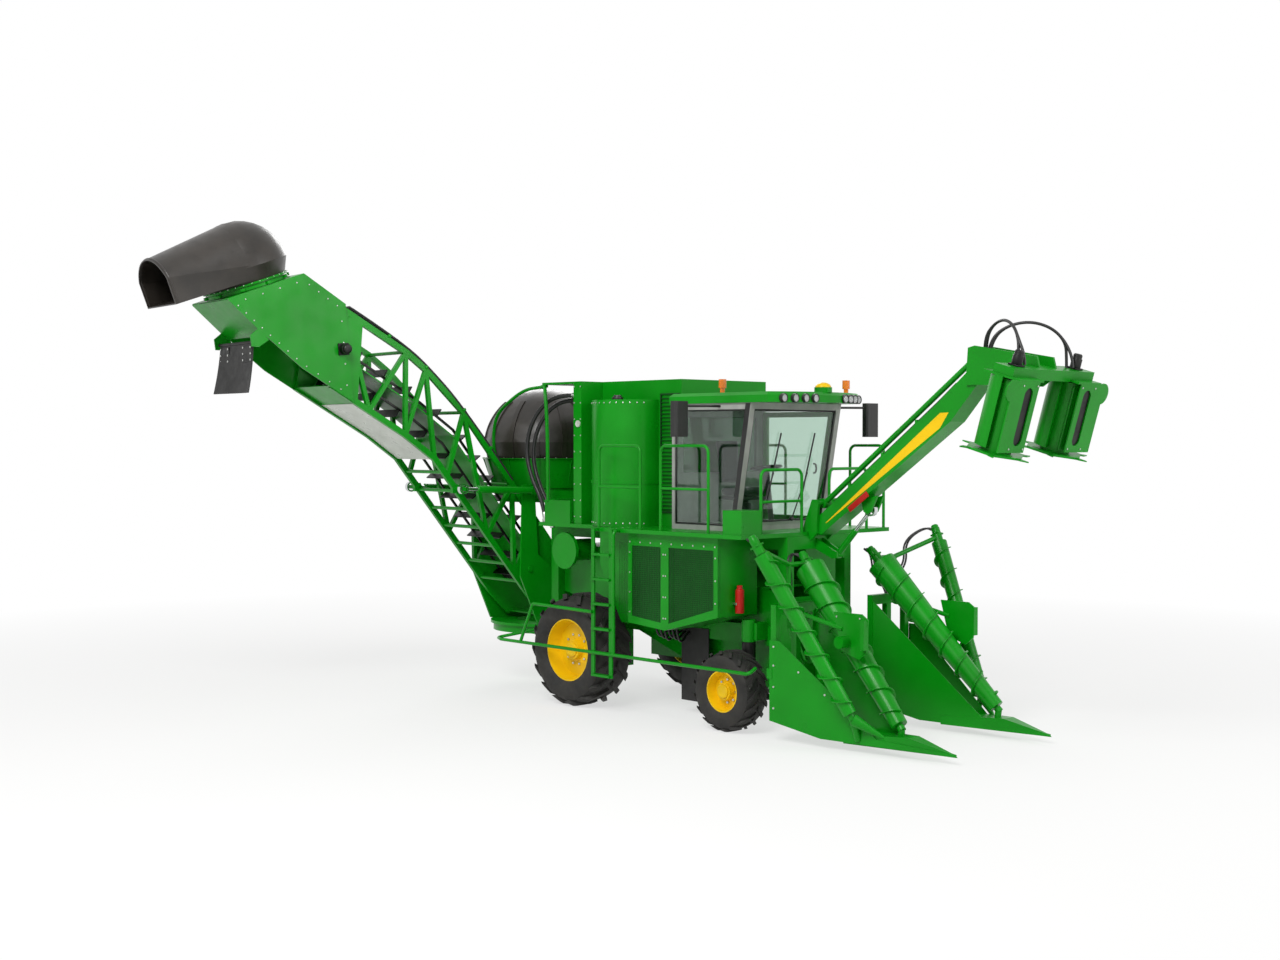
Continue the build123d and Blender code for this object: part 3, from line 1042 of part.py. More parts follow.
def divider():
    """Left crop divider: rear frame, two side sheets that meet at the toe, and the scrolls' holders."""
    px, pz = DIVIDER_PIVOT
    tip_x, tip_y, tip_z = TOE
    low, high = DIVIDER_LUG_Y
    frame_x = (px + 110, px + 190)
    inner_y, outer_y = low + 45, 1330
    pieces = []
    # Pivot arm and rear frame
    pieces.append(plate_xz([(px - 40, pz - 40), (px + 160, pz - 60), (px + 160, pz + 90), (px - 40, pz + 45)],
                           (inner_y, high - 45)))
    pieces.append(block(frame_x, (inner_y, outer_y), (pz - 60, pz + 60)))
    pieces.append(block(frame_x, (inner_y, 1260), (1480, 1600)))
    for y, z in ((inner_y, pz - 400), (820, pz), (1180, pz - 500)):
        pieces.append(block(frame_x, (y, y + 80), (z, 1600)))
    # Side sheets: start in plan, and the top edge's heights by X
    sheets = [
        ((px + 150, inner_y + 15), [(px + 150, 1560), (5100, 200)]),
        ((px + 150, outer_y - 7), [(px + 150, 1190), (px + 280, 1190), (4970, 180)]),
    ]
    for start, top in sheets:
        stretch = hypot(tip_x - start[0], tip_y - start[1]) / (tip_x - start[0])
        line = [(start[0], 250), (4250, tip_z + 20), (tip_x - 20, tip_z), (tip_x - 20, tip_z + 30), *top[::-1]]
        outline = [((x - start[0]) * stretch, z) for x, z in line]
        pieces.append(wall_on(start, (tip_x, tip_y), outline, 14))
    # Toe
    toe = plate_xz([(4540, tip_z), (tip_x, tip_z), (tip_x - 30, tip_z + 25), (5350, tip_z + 150), (4540, tip_z + 110)],
                   (tip_y - 300, tip_y + 300))
    wedge = plate_xy([(tip_x + 10, tip_y), (4540, tip_y - 235), (4540, tip_y + 235)], (0, 1000))
    pieces.append(toe & wedge)
    # Holders at the scrolls' ends, with feet on the toe and the outer sheet and arms on one post
    post_x, post_y = px + 160, 1000
    post_top = (post_x, post_y, 2060)
    pieces += [rod((post_x, post_y, 1560), post_top, 30), Pos(*post_top) * Sphere(30)]
    outer_start = sheets[1][0]
    for name, (lower, upper, r0, r1) in SCROLLS.items():
        a, b = Vector(*lower), Vector(*upper)
        axis = (b - a).normalized()
        pieces.append(rod(tuple(a - axis * 70), tuple(a - axis * SCROLL_GAP), 45))
        pieces.append(rod(tuple(b + axis * SCROLL_GAP), tuple(b + axis * 110), 60))
        pieces.append(rod(post_top, tuple(b + axis * 80), 30))
        foot = a - axis * 45
        sheet_y = outer_start[1] + (tip_y - outer_start[1]) * (foot.X - outer_start[0]) / (tip_x - outer_start[0])
        floor_y = sheet_y if name == "outer" else tip_y
        pieces.append(rod(tuple(foot), (foot.X - 10, floor_y, tip_z + 60), 40))
    # Fairing ahead of the outer scroll, down to the outer sheet
    a, b = (Vector(*end) for end in SCROLLS["outer"][:2])
    axis = (b - a).normalized()
    nose = a - axis * 70
    tip = Vector(nose.X + 300, nose.Y - 200, nose.Z - 200)
    pieces.append(Plane(origin=nose, z_dir=tip - nose) * Pos(0, 0, (tip - nose).length / 2) * Cone(
        72, 18, (tip - nose).length))
    # Side-knife motor's guard plate on its own bar
    x, y, z = KNIFE_PLATE
    guard = [(x - 250, z + 250), (x + 160, z + 250), (x + 250, z + 190), (x + 230, z - 180), (x + 120, z - 270),
             (x - 130, z - 190)]
    pieces.append(plate_xz(guard, (y - 10, y + 10)))
    pieces.append(block((x + 190, x + 244), (y - 10, y + 70), (z - 150, z + 190)))
    pieces.append(along_y(x - 60, z - 80, (y, y + 150), 70))
    pieces.append(rod((px + 170, y, 1540), (x - 120, y, z + 60), 28))
    return join(pieces) - along_y(px, pz, (low, high), CYLINDER_PIN + FIT)


def scroll(lower, upper, r0, r1):
    """Tapered crop-lifting scroll with a flight wound round it, and a pin at each end."""
    a, b = Vector(*lower), Vector(*upper)
    length = (b - a).length
    cone = Pos(0, 0, length / 2) * Cone(r0, r1, length)
    # The flight's section straddles the cone's surface
    start = r0 + (r1 - r0) * FLIGHT_MARGIN / length
    path = Pos(0, 0, FLIGHT_MARGIN) * Helix(pitch=FLIGHT_LEAD, height=length - 2 * FLIGHT_MARGIN, radius=start,
                                            cone_angle=degrees(atan2(r1 - r0, length)))
    plane = Plane(origin=path @ 0, x_dir=(1, 0, 0), z_dir=path % 0)
    flight = sweep(plane * Rectangle(2 * FLIGHT_HEIGHT, FLIGHT_THICKNESS), path, is_frenet=True)
    reach = SCROLL_GAP - SEAT
    pins = [Pos(0, 0, z) * Cylinder(25, reach + 2) for z in (-reach / 2 + 1, length + reach / 2 - 1)]
    return Plane(origin=a, z_dir=b - a) * join([cone, flight] + pins)


def base_cutter(sign):
    """Base cutter disc with blades on its upright shaft."""
    place = Pos(CUTTER_X, sign * CUTTER_Y, 0)
    pieces = [along_z(0, 0, (CUTTER_Z, CUTTER_Z + 25), CUTTER_RADIUS - 60),
              along_z(0, 0, (CUTTER_Z, CUTTER_BOX_Z[0] + 90), CUTTER_SHAFT_RADIUS)]
    for angle in range(0, 360, 72):
        blade = block((CUTTER_RADIUS - 140, CUTTER_RADIUS - 8), (-45, 45), (CUTTER_Z + 4, CUTTER_Z + 14))
        pieces.append(Rot(0, 0, angle) * blade)
    return place * join(pieces)


def knockdown_roller():
    """Knockdown roller across the throat, with fins along it."""
    half = FRAME_INNER - FEED_CLEAR - FEED_WALL - 10
    end = FRAME_INNER - FEED_CLEAR - 6
    pieces = [along_y(0, 0, (-half, half), ROLLER_RADIUS - 50), along_y(0, 0, (-end, end), ROLLER_SHAFT_RADIUS)]
    for angle in range(0, 360, 45):
        pieces.append(Rot(0, angle, 0) * block((ROLLER_RADIUS - 70, ROLLER_RADIUS), (-half, half), (-8, 8)))
    return Pos(ROLLER_X, 0, ROLLER_Z) * join(pieces)


def rubber_flaps():
    """Rubber curtains beside the base cutter."""
    inner = FRAME_OUTER + SEAT
    return both_sides(block((1390, 1880), (inner, inner + 16), (170, LOWER_BEAM_Z[0] + 120)))


def main():
    """Build every piece and write it."""
    os.makedirs("parts", exist_ok=True)
    wheels()
    left = knuckle()
    save("front_knuckle_left", left)
    save("front_knuckle_right", mirror(left, about=Plane.XZ))
    frame = main_frame()
    save("main_frame", frame)
    save("feed_housing", feed_housing())
    save("chopper_covers", Compound(children=chopper_covers()))
    save("deck", deck())
    save("cooling_box", cooler())
    save("fuel_tank", fuel_tank())
    save("engine_block", engine())
    save("engine_cover", enclosure())
    save("side_tank", side_tank())
    save("rails_and_ladder", Compound(children=rails_and_ladder()))
    save("rubber_flaps", Compound(children=rubber_flaps()))
    save("cab_frame", cab_frame())
    save("cab_glass", Compound(children=cab_glass()))
    save("cab_door", cab_door())
    save("door_glass", door_glass())
    roof = cab_roof()
    save("cab_roof", roof)
    save("work_lamps", Compound(children=[lamp - roof for lamp in work_lamps()]))
    save("beacons", Compound(children=beacons()))
    save("mirrors", Compound(children=mirrors()))
    save("seat", seat())
    save("steering_column", console())
    save("extractor_base", extractor_base())
    fan_place = Pos(SLEW_X, 0, EXTRACTOR_Z[0] + FAN_SEAT + SEAT)
    save("primary_fan", fan_place * fan(EXTRACTOR_RADIUS - 90))
    primary = hood(EXTRACTOR_RADIUS, *HOODS["primary"])
    save("primary_hood", Pos(SLEW_X, 0, EXTRACTOR_Z[1] + SEAT) * Rot(0, 0, 120) * primary)
    save("slew_table", on_elevator(slew_table()))
    save("elevator_frame", on_elevator(elevator_frame()))
    save("elevator_flights", on_elevator(elevator_flights()))
    save("lift_barrels", on_elevator(Compound(children=lift_barrels())))
    save("lift_rods", on_elevator(Compound(children=lift_rods())))
    save("secondary_housing", on_elevator(secondary_housing()))
    plane = housing_plane()
    save("secondary_fan", on_elevator(plane * (Pos(0, 0, 70 - SECONDARY_FAN_DROP + SEAT) * fan(ring_radius() - 70))))
    secondary = hood(ring_radius() - 20, *HOODS["secondary"])
    save("secondary_hood", on_elevator(plane * (Pos(0, 0, 100 + SEAT) * secondary)))
    save("bin_flap", on_elevator(bin_flap()))
    save("topper_boom", topper_boom())
    save("topper_link", topper_link())
    save("topper_head", topper_head())
    save("topper_drum_left", topper_drum(1))
    save("topper_drum_right", topper_drum(-1))
    save("topper_barrel", topper_barrel())
    save("topper_rod", topper_rod())
    left_divider = divider()
    save("divider_left", left_divider)
    save("divider_right", mirror(left_divider, about=Plane.XZ))
    for name, row in SCROLLS.items():
        piece = scroll(*row)
        save(f"{name}_scroll_left", piece)
        save(f"{name}_scroll_right", mirror(piece, about=Plane.XZ))
    save("base_cutter_left", base_cutter(1))
    save("base_cutter_right", base_cutter(-1))
    save("knockdown_roller", knockdown_roller())


main()
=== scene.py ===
# %% [markdown]
# # A wheeled sugarcane harvester
# The machine cuts cane at the root, lifts it with tapered scrolls, chops it and blows out the leaf, and its
# slewing elevator loads a wagon alongside. The exact solids come in as a fixed frame, and this lesson dresses
# them: a finish for every surface, then the hoses, screens, bolts, lamps and seat that give it its look.

# %% Load the fixed frame
import json
from math import atan2, cos, pi, radians, sin

import bpy
from mathutils import Matrix, Vector


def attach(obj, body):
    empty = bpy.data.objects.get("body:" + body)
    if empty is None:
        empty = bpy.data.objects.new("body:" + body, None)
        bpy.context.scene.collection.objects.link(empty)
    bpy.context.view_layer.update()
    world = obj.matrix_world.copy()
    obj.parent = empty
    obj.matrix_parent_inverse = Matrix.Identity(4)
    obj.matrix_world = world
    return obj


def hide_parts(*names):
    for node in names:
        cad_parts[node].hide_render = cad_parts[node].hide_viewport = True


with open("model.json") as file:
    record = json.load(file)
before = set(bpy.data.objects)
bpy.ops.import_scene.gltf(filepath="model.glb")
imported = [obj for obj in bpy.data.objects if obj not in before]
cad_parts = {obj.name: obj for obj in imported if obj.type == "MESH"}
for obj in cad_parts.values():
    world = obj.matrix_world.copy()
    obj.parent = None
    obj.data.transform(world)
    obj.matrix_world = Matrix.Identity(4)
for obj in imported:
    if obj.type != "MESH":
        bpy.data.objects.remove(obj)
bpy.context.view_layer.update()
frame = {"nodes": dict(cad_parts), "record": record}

# %% [markdown]
# ## Materials: one helper for nodes
# Each finish is a small node tree. One function adds a node, sets its values and links its inputs, so a
# material reads as a list of what the surface is. Colours are written as sRGB hex, as on a paint card, and
# turned to linear light once.

# %% Helpers for finishes
MM = 0.001


def srgb(code):
    """Linear colour from an sRGB hex code."""
    parts = [int(code[i:i + 2], 16) / 255 for i in (1, 3, 5)]
    return [c / 12.92 if c <= 0.04045 else ((c + 0.055) / 1.055) ** 2.4 for c in parts] + [1.0]


def add_node(tree, kind, links=(), settings=(), stops=(), **values):
    """A node with its settings, ramp colours, values and links; a linked node gives its first output."""
    node = tree.node_tree.nodes.new("ShaderNode" + kind)
    for key, value in dict(settings).items():
        setattr(node, key, value)
    for number, code in enumerate(stops):
        node.color_ramp.elements[number].color = srgb(code)
    for key, value in values.items():
        node.inputs[key.replace("_", " ")].default_value = value
    for key, source in dict(links).items():
        socket = source.outputs[0] if hasattr(source, "outputs") else source
        tree.node_tree.links.new(socket, node.inputs[key])
    return node


def start(name):
    """A new material with an empty tree, and the Object coordinates that its patterns read."""
    material = bpy.data.materials.new(name)
    material.use_nodes = True
    material.node_tree.nodes.clear()
    return material, add_node(material, "TexCoord").outputs["Object"]


def wired(material, shader):
    """The material with that shader at its output."""
    add_node(material, "OutputMaterial", {"Surface": shader})
    return material


def per_metre(size_mm):
    """Texture scale at which one feature is about that many millimetres across."""
    return 1 / (size_mm * MM)


print("finish helpers ready")

# %% [markdown]
# ## Sprayed enamel
# The frame, sheets and trusses are welded steel sprayed with a gloss enamel. Spray leaves a fine orange peel,
# which breaks up the reflections. The colour drifts a little from panel to panel, and dust makes the gloss
# uneven. Colour, gloss and relief each follow a noise field of their own size.

# %% Enamels, green, yellow and red
# A noise field seldom leaves the span from the first to the second value
NOISE_LOW, NOISE_HIGH = 0.3, 0.7
NOISE_ROUGHNESS = 0.55
DRIFT_MM, DUST_MM, PEEL_MM = 900, 260, 14


def finish(name, tones, gloss, fields, relief, **more):
    """An opaque surface from two colours, a roughness range, three noise sizes with detail, and a relief."""
    material, place = start(name)
    drift, wear, grain = [
        add_node(material, "TexNoise", {"Vector": place}, Scale=per_metre(size_mm), Detail=detail,
                 Roughness=NOISE_ROUGHNESS) for size_mm, detail in fields]
    blend = add_node(material, "MapRange", {"Value": drift}, From_Min=NOISE_LOW, From_Max=NOISE_HIGH)
    colour = add_node(material, "ValToRGB", {"Fac": blend}, stops=tones)
    dull = add_node(material, "MapRange", {"Value": wear}, From_Min=NOISE_LOW, From_Max=NOISE_HIGH,
                    To_Min=gloss[0], To_Max=gloss[1])
    skin = add_node(material, "Bump", {"Height": grain}, Distance=relief[0] * MM, Strength=relief[1])
    links = {"Base Color": colour, "Roughness": dull, "Normal": skin}
    return wired(material, add_node(material, "BsdfPrincipled", links, **more))


def enamel(name, deep, bright, roughness):
    """Gloss enamel: two close colours, an uneven gloss and orange peel."""
    fields = ((DRIFT_MM, 2.0), (DUST_MM, 4.0), (PEEL_MM, 1.0))
    return finish(name, (deep, bright), (roughness - 0.05, roughness + 0.09), fields, (0.5, 0.12),
                  Coat_Weight=0.05, Coat_Roughness=0.15, Specular_IOR_Level=0.22)


GREEN = enamel("sprayed_green_enamel", "#02800A", "#069212", 0.32)
# A darker copy of the green enamel: its colour is painted shade, for the panels behind the cooler screens and
# the louvres.
PAINTED_SHADE_GREEN = enamel("shaded_green_enamel", "#043A0C", "#064A10", 0.5)
WIRE_GREEN = enamel("green_wire_enamel", "#055F12", "#0A7018", 0.45)
YELLOW = enamel("sprayed_yellow_enamel", "#EDBE08", "#F6CB12", 0.34)
RED = enamel("sprayed_red_enamel", "#A81712", "#BE211A", 0.35)
print("enamels:", GREEN.name, YELLOW.name, RED.name)

# %% [markdown]
# ## Moulded plastics, rubbers and bare metals
# The hoods are rotationally moulded polyethylene, which comes out satin with a fine pebbled skin. Tyres are a
# carbon-black rubber with a dusty bloom. Rods are hard chrome, and castings and chain are dark oiled steel.

# %% Plastics, rubbers and metals
def satin(name, deep, bright, roughness, grain_mm, relief_mm, **more):
    """A dull moulded surface: a mottled colour and a grain of that size."""
    fields = ((30 * grain_mm, 4.0), (12 * grain_mm, 3.0), (grain_mm, 2.0))
    gloss = (roughness - 0.07, roughness + 0.08)
    return finish(name, (deep, bright), gloss, fields, (relief_mm, 0.4), **more)


def bare_metal(name, deep, bright, roughness, grain_mm):
    """A bare metal with faint machining or scale of that size."""
    return satin(name, deep, bright, roughness, grain_mm, 0.3, Metallic=1.0)


HOOD_PLASTIC = satin("moulded_black_polyethylene", "#211E1A", "#332E29", 0.36, 12.0, 0.15)
TRIM_PLASTIC = satin("moulded_black_abs", "#141414", "#1F1F1E", 0.4, 5.0, 0.3)
GREY_PLASTIC = satin("moulded_grey_trim", "#8E908C", "#A3A5A0", 0.45, 6.0, 0.3)
TYRE_RUBBER = satin("carbon_black_tyre_rubber", "#161615", "#2B2925", 0.72, 7.0, 0.7)
SHEET_RUBBER = satin("ply_rubber_sheet", "#141414", "#232221", 0.6, 8.0, 0.5)
HOSE_RUBBER = satin("hydraulic_hose_rubber", "#0F0F0F", "#1B1B1A", 0.45, 4.0, 0.4)
CHROME = bare_metal("hard_chrome", "#C9CBCD", "#D6D8DA", 0.14, 3.0)
STEEL = bare_metal("oiled_dark_steel", "#2A2B2B", "#3A3A38", 0.42, 6.0)
ZINC = bare_metal("zinc_plated_steel", "#B9BBB8", "#CFD1CD", 0.3, 4.0)
# The pale sheet is the gauge's own pale face, and the elevator's bare underside, whose paleness there is
# partly a painted reflection of the white floor.
PALE_SHEET_AND_REFLECTION = satin("pale_sheet_and_painted_reflection", "#B8BEB4", "#CCD1C8", 0.32, 12.0, 0.3)
print("moulded and metal finishes ready")

# %% [markdown]
# ## Glass and lenses
# The cab has tinted safety glass. A thick solid with transmission refracts as the real sheet does. The lamps
# have clear ribbed lenses and the beacons amber ones.

# %% Glass, clear lens and amber lens
HAZE_MM = 120


def clear_pane(name, tint, roughness, transmission, ripple_mm=400.0):
    """A see-through solid with a faint ripple."""
    material, place = start(name)
    wave, haze = [
        add_node(material, "TexNoise", {"Vector": place}, Scale=per_metre(size_mm), Detail=detail,
                 Roughness=NOISE_ROUGHNESS) for size_mm, detail in ((ripple_mm, 1.0), (HAZE_MM, 3.0))]
    ripple = add_node(material, "Bump", {"Height": wave}, Distance=0.4 * MM, Strength=0.05)
    dull = add_node(material, "MapRange", {"Value": haze}, From_Min=0.4, From_Max=NOISE_HIGH,
                    To_Min=roughness, To_Max=roughness + 0.03)
    return wired(material, add_node(material, "BsdfPrincipled", {"Normal": ripple, "Roughness": dull},
                                    Base_Color=srgb(tint), IOR=1.5, Transmission_Weight=transmission))


GLASS = clear_pane("tinted_safety_glass", "#D5E6DC", 0.02, 1.0)
LENS = clear_pane("ribbed_clear_lens", "#F2F4F5", 0.08, 0.55, 12.0)
AMBER = clear_pane("amber_lens", "#F58A12", 0.12, 0.45, 14.0)
print("glass ready")

# %% [markdown]
# ## Woven seat cloth
# Seat cloth is a plain weave. Two crossed wave patterns stand for warp and weft, drawn coarser than the real
# thread so that they show at this distance.

# %% Seat cloth
THREAD_MM = 6.0


def cloth(name, deep, bright):
    """Plain weave from crossed bands, with sheen."""
    material, place = start(name)
    warp, weft = [
        add_node(material, "TexWave", {"Vector": place}, {"bands_direction": way},
                 Scale=per_metre(THREAD_MM) / 6).outputs["Fac"] for way in ("X", "Z")]
    weave = add_node(material, "Math", {0: warp, 1: weft}, {"operation": "MULTIPLY"})
    colour = add_node(material, "ValToRGB", {"Fac": weave}, stops=(deep, bright))
    threads = add_node(material, "Bump", {"Height": weave}, Distance=0.8 * MM, Strength=0.6)
    return wired(material, add_node(material, "BsdfPrincipled", {"Base Color": colour, "Normal": threads},
                                    Roughness=0.85, Sheen_Weight=0.3))


SEAT_CLOTH = cloth("woven_seat_cloth", "#1C1D20", "#2E2F33")
print("cloth ready")

# %% [markdown]
# ## Dress the solids
# The record says which slot each solid belongs to. A solid whose form is right keeps its mesh and takes the
# finish of its slot, or one of its own where the slot's is too general.

# %% Give every solid its finish
FINISHES = {
    "green_paint": GREEN, "yellow_paint": YELLOW, "black_plastic": HOOD_PLASTIC, "grey_trim": GREY_PLASTIC,
    "tyre": TYRE_RUBBER, "glass": GLASS, "chrome": CHROME, "lamp": LENS, "amber": AMBER,
    "rubber": SHEET_RUBBER, "dark_steel": STEEL, "seat_fabric": SEAT_CLOTH,
}
NODE_FINISHES = {
    "topper_drum_left": GREEN, "topper_drum_right": GREEN, "lift_barrels": GREEN, "topper_barrel": GREEN,
    "mirrors": TRIM_PLASTIC, "steering_column": TRIM_PLASTIC,
}
for row in frame["record"]["subparts"]:
    solid = frame["nodes"][row["node"]]
    solid.data.materials.clear()
    solid.data.materials.append(NODE_FINISHES.get(row["node"], FINISHES[row["material_slot"]]))

# %% [markdown]
# ## Helpers for modelling by hand
# New pieces start from primitives and are shaped in edit mode. An operator acts on everything that is
# selected, so each helper clears the selection first, and bakes the place into the mesh so that the object
# stays at the origin, as the solids do.

# %% Starting shapes
SIDES = (("left", 1), ("right", -1))


def clear():
    """Nothing selected, in object mode."""
    if bpy.context.object and bpy.context.object.mode != "OBJECT":
        bpy.ops.object.mode_set(mode="OBJECT")
    bpy.ops.object.select_all(action="DESELECT")


def only(piece):
    """That piece alone selected and active, in object mode."""
    clear()
    bpy.context.view_layer.objects.active = piece
    piece.select_set(True)


def bake():
    """The active object's place and turn go into its mesh."""
    bpy.ops.object.transform_apply(location=True, rotation=True, scale=True)
    return bpy.context.object


def box(low, high):
    """A box between two corners."""
    clear()
    low, high = Vector(low), Vector(high)
    bpy.ops.mesh.primitive_cube_add(size=1, location=(low + high) / 2, scale=high - low)
    return bake()


def round_bar(a, b, radius, sides=20):
    """A round bar from one point to another."""
    clear()
    a, b = Vector(a), Vector(b)
    turn = Vector((0, 0, 1)).rotation_difference(b - a).to_euler()
    bpy.ops.mesh.primitive_cylinder_add(vertices=sides, radius=radius, depth=(b - a).length,
                                        location=(a + b) / 2, rotation=turn)
    return bake()


print("boxes and bars ready")


# %% Picking and shaping
def pick(piece, kind, test):
    """Edit mode with only the points or faces selected that pass the test."""
    only(piece)
    bpy.ops.object.mode_set(mode="EDIT")
    bpy.ops.mesh.select_mode(type=kind)
    bpy.ops.mesh.select_all(action="DESELECT")
    bpy.ops.object.mode_set(mode="OBJECT")
    for item in piece.data.polygons if kind == "FACE" else piece.data.vertices:
        item.select = test(item)
    bpy.ops.object.mode_set(mode="EDIT")


def pick_faces(piece, axis=None):
    """Edit mode with the faces selected that look along the axis, or every face where none is given."""
    pick(piece, "FACE", lambda face: axis is None or face.normal.dot(Vector(axis)) > 0.9)


def step_out(piece, axis, inset, rise, slope=0.0):
    """The end that looks along the axis is inset and drawn out; it stays picked, in edit mode."""
    pick_faces(piece, axis)
    bpy.ops.mesh.inset(thickness=inset, depth=slope)
    bpy.ops.mesh.extrude_region_move(TRANSFORM_OT_translate={"value": Vector(axis) * rise})


def applied(piece, kind, **settings):
    """A modifier of that kind with those settings, applied to the piece."""
    only(piece)
    step = piece.modifiers.new(kind.lower(), kind)
    for key, value in settings.items():
        setattr(step, key, value)
    bpy.ops.object.modifier_apply(modifier=step.name)
    return piece


def rounded(piece, width_mm, segments=2):
    """Edges broken by a bevel of that width."""
    return applied(piece, "BEVEL", width=width_mm * MM, segments=segments, limit_method="ANGLE")


print("picking and shaping ready")


# %% Joining, copying and keeping
def joined(pieces):
    """Several objects joined into one."""
    clear()
    for piece in pieces:
        piece.select_set(True)
    bpy.context.view_layer.objects.active = pieces[0]
    bpy.ops.object.join()
    return bpy.context.object


def copies(piece, places):
    """The piece repeated at each matrix, every copy with its own mesh, joined; the pattern itself goes."""
    made = []
    for place in places:
        twin = piece.copy()
        twin.data = piece.data.copy()
        twin.data.transform(place)
        bpy.context.scene.collection.objects.link(twin)
        made.append(twin)
    bpy.data.objects.remove(piece)
    return joined(made)


def keep(piece, name, body, material, smooth=35):
    """Name the piece, shade it, give it its finish, and let it ride on its body."""
    clear()
    piece.name = name
    piece.data.name = name
    piece.data.materials.clear()
    piece.data.materials.append(material)
    if piece.type == "MESH":
        only(piece)
        bpy.ops.object.shade_smooth_by_angle(angle=radians(smooth))
        clear()
    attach(piece, body)
    return piece


# %% [markdown]
# ## Bolts, tubes and plates
# Three shapes come back all over the machine. A bolt head is a six-sided cylinder with its top drawn up to a
# smaller face. A tube follows a smooth NURBS line. A plate starts as a filled circle with as many corners as
# its outline has: the corners go to the outline, and the face is extruded by the thickness.

# %% Bolts
def bolt(radius_mm, height_mm):
    """A hexagon head standing on the XY plane, its top drawn up to a smaller face."""
    clear()
    bpy.ops.mesh.primitive_cylinder_add(vertices=6, radius=radius_mm * MM, depth=height_mm * MM,
                                        location=(0, 0, height_mm * MM / 2))
    head = bake()
    pick_faces(head, (0, 0, 1))
    bpy.ops.mesh.inset(thickness=0.18 * radius_mm * MM, depth=0.16 * height_mm * MM)
    clear()
    return head


def facing(normal):
    """Turn that takes +Z to the normal."""
    return Vector((0, 0, 1)).rotation_difference(Vector(normal)).to_matrix().to_4x4()


def bolt_row(a, b, count):
    """Evenly spaced points from a to b."""
    a, b = Vector(a), Vector(b)
    return [a + (b - a) * (i / (count - 1)) for i in range(count)]


def bolt_circle(radius, z, count):
    """Evenly spaced points round the Z axis, at that radius and height."""
    turns = [2 * pi * i / count for i in range(count)]
    return [Vector((radius * cos(turn), radius * sin(turn), z)) for turn in turns]


def bolts(name, body, points, normal, radius_mm, height_mm):
    """Zinc-plated bolt heads at those points, standing along the normal."""
    places = [Matrix.Translation(point) @ facing(normal) for point in points]
    return keep(copies(bolt(radius_mm, height_mm), places), name, body, ZINC)


print("bolt helpers ready")


# %% Tubes and plates
def tube_line(points):
    """A smooth NURBS line led by those control points."""
    data = bpy.data.curves.new("line", "CURVE")
    data.dimensions = "3D"
    spline = data.splines.new("NURBS")
    spline.points.add(len(points) - 1)
    for point, place in zip(spline.points, points):
        point.co = (*place, 1.0)
    spline.order_u = 3
    spline.use_endpoint_u = True
    spline.resolution_u = 8
    data.bevel_resolution = 3
    return data


def tube(points, radius):
    """A bent tube as a mesh, along a smooth line with capped ends."""
    data = tube_line(points)
    data.bevel_depth = radius
    data.use_fill_caps = True
    piece = bpy.data.objects.new("tube", data)
    bpy.context.scene.collection.objects.link(piece)
    only(piece)
    bpy.ops.object.convert(target="MESH")
    return bpy.context.object


def plate(outline, push):
    """A plate with that outline of points, extruded by the push."""
    clear()
    bpy.ops.mesh.primitive_circle_add(vertices=len(outline), radius=1, fill_type="NGON")
    piece = bpy.context.object
    for vertex, place in zip(piece.data.vertices, outline):
        vertex.co = place
    pick_faces(piece)
    bpy.ops.mesh.extrude_region_move(TRANSFORM_OT_translate={"value": push})
    bpy.ops.mesh.select_all(action="SELECT")
    bpy.ops.mesh.normals_make_consistent(inside=False)
    clear()
    return piece


print("tube and plate helpers ready")

# %% [markdown]
# ## Wheel nuts and hub caps
# Each rim is bolted to its hub by a ring of nuts. One nut is modelled and copied round a circle. The hub cap
# is a short cylinder whose end is inset and drawn out. They turn with the wheel, so they ride on its body.

# %% Wheel nuts and hub caps
# Wheel rows: axle, axle's X and Z, nut circle, nut face, nut count, cap radius, cap face
WHEELS = [("rear", 0, 0.745, 0.2, 1.203, 10, 0.1, 1.288), ("front", 2.75, 0.49, 0.14, 1.163, 8, 0.085, 1.248)]
for axle, x, z, circle, face, count, cap_radius, cap_face in WHEELS:
    for name, side in SIDES:
        body = f"{axle}_wheel_{name}"
        turns = [2 * pi * i / count for i in range(count)]
        points = [Vector((x + circle * cos(turn), side * face, z + circle * sin(turn))) for turn in turns]
        bolts("wheel_nuts_" + body, body, points, (0, side, 0), 17, 18)
        cap = round_bar((x, side * (cap_face - 0.01), z), (x, side * (cap_face + 0.02), z), cap_radius, 28)
        pick_faces(cap, (0, side, 0))
        bpy.ops.mesh.inset(thickness=0.25 * cap_radius, depth=0.012)
        bpy.ops.mesh.inset(thickness=0.3 * cap_radius, depth=-0.006)
        keep(rounded(cap, 4), "hub_cap_" + body, body, YELLOW)
print("nuts and caps on", len(WHEELS), "axles")

# %% [markdown]
# ## Cooler screens
# Woven wire keeps leaf out of the cooler. A grid with one cell for each opening is cut along the sloping
# lower edge, and the Wireframe modifier turns its edges into wire. Behind it stands a panel of painted shade.

# %% Cooler screens
# Window rows: rear and front X, lower edge's Z at each, top Z
WINDOWS = [(1.18, 1.708, 1.29, 1.24, 2.19), (1.848, 2.63, 1.24, 1.47, 2.19)]
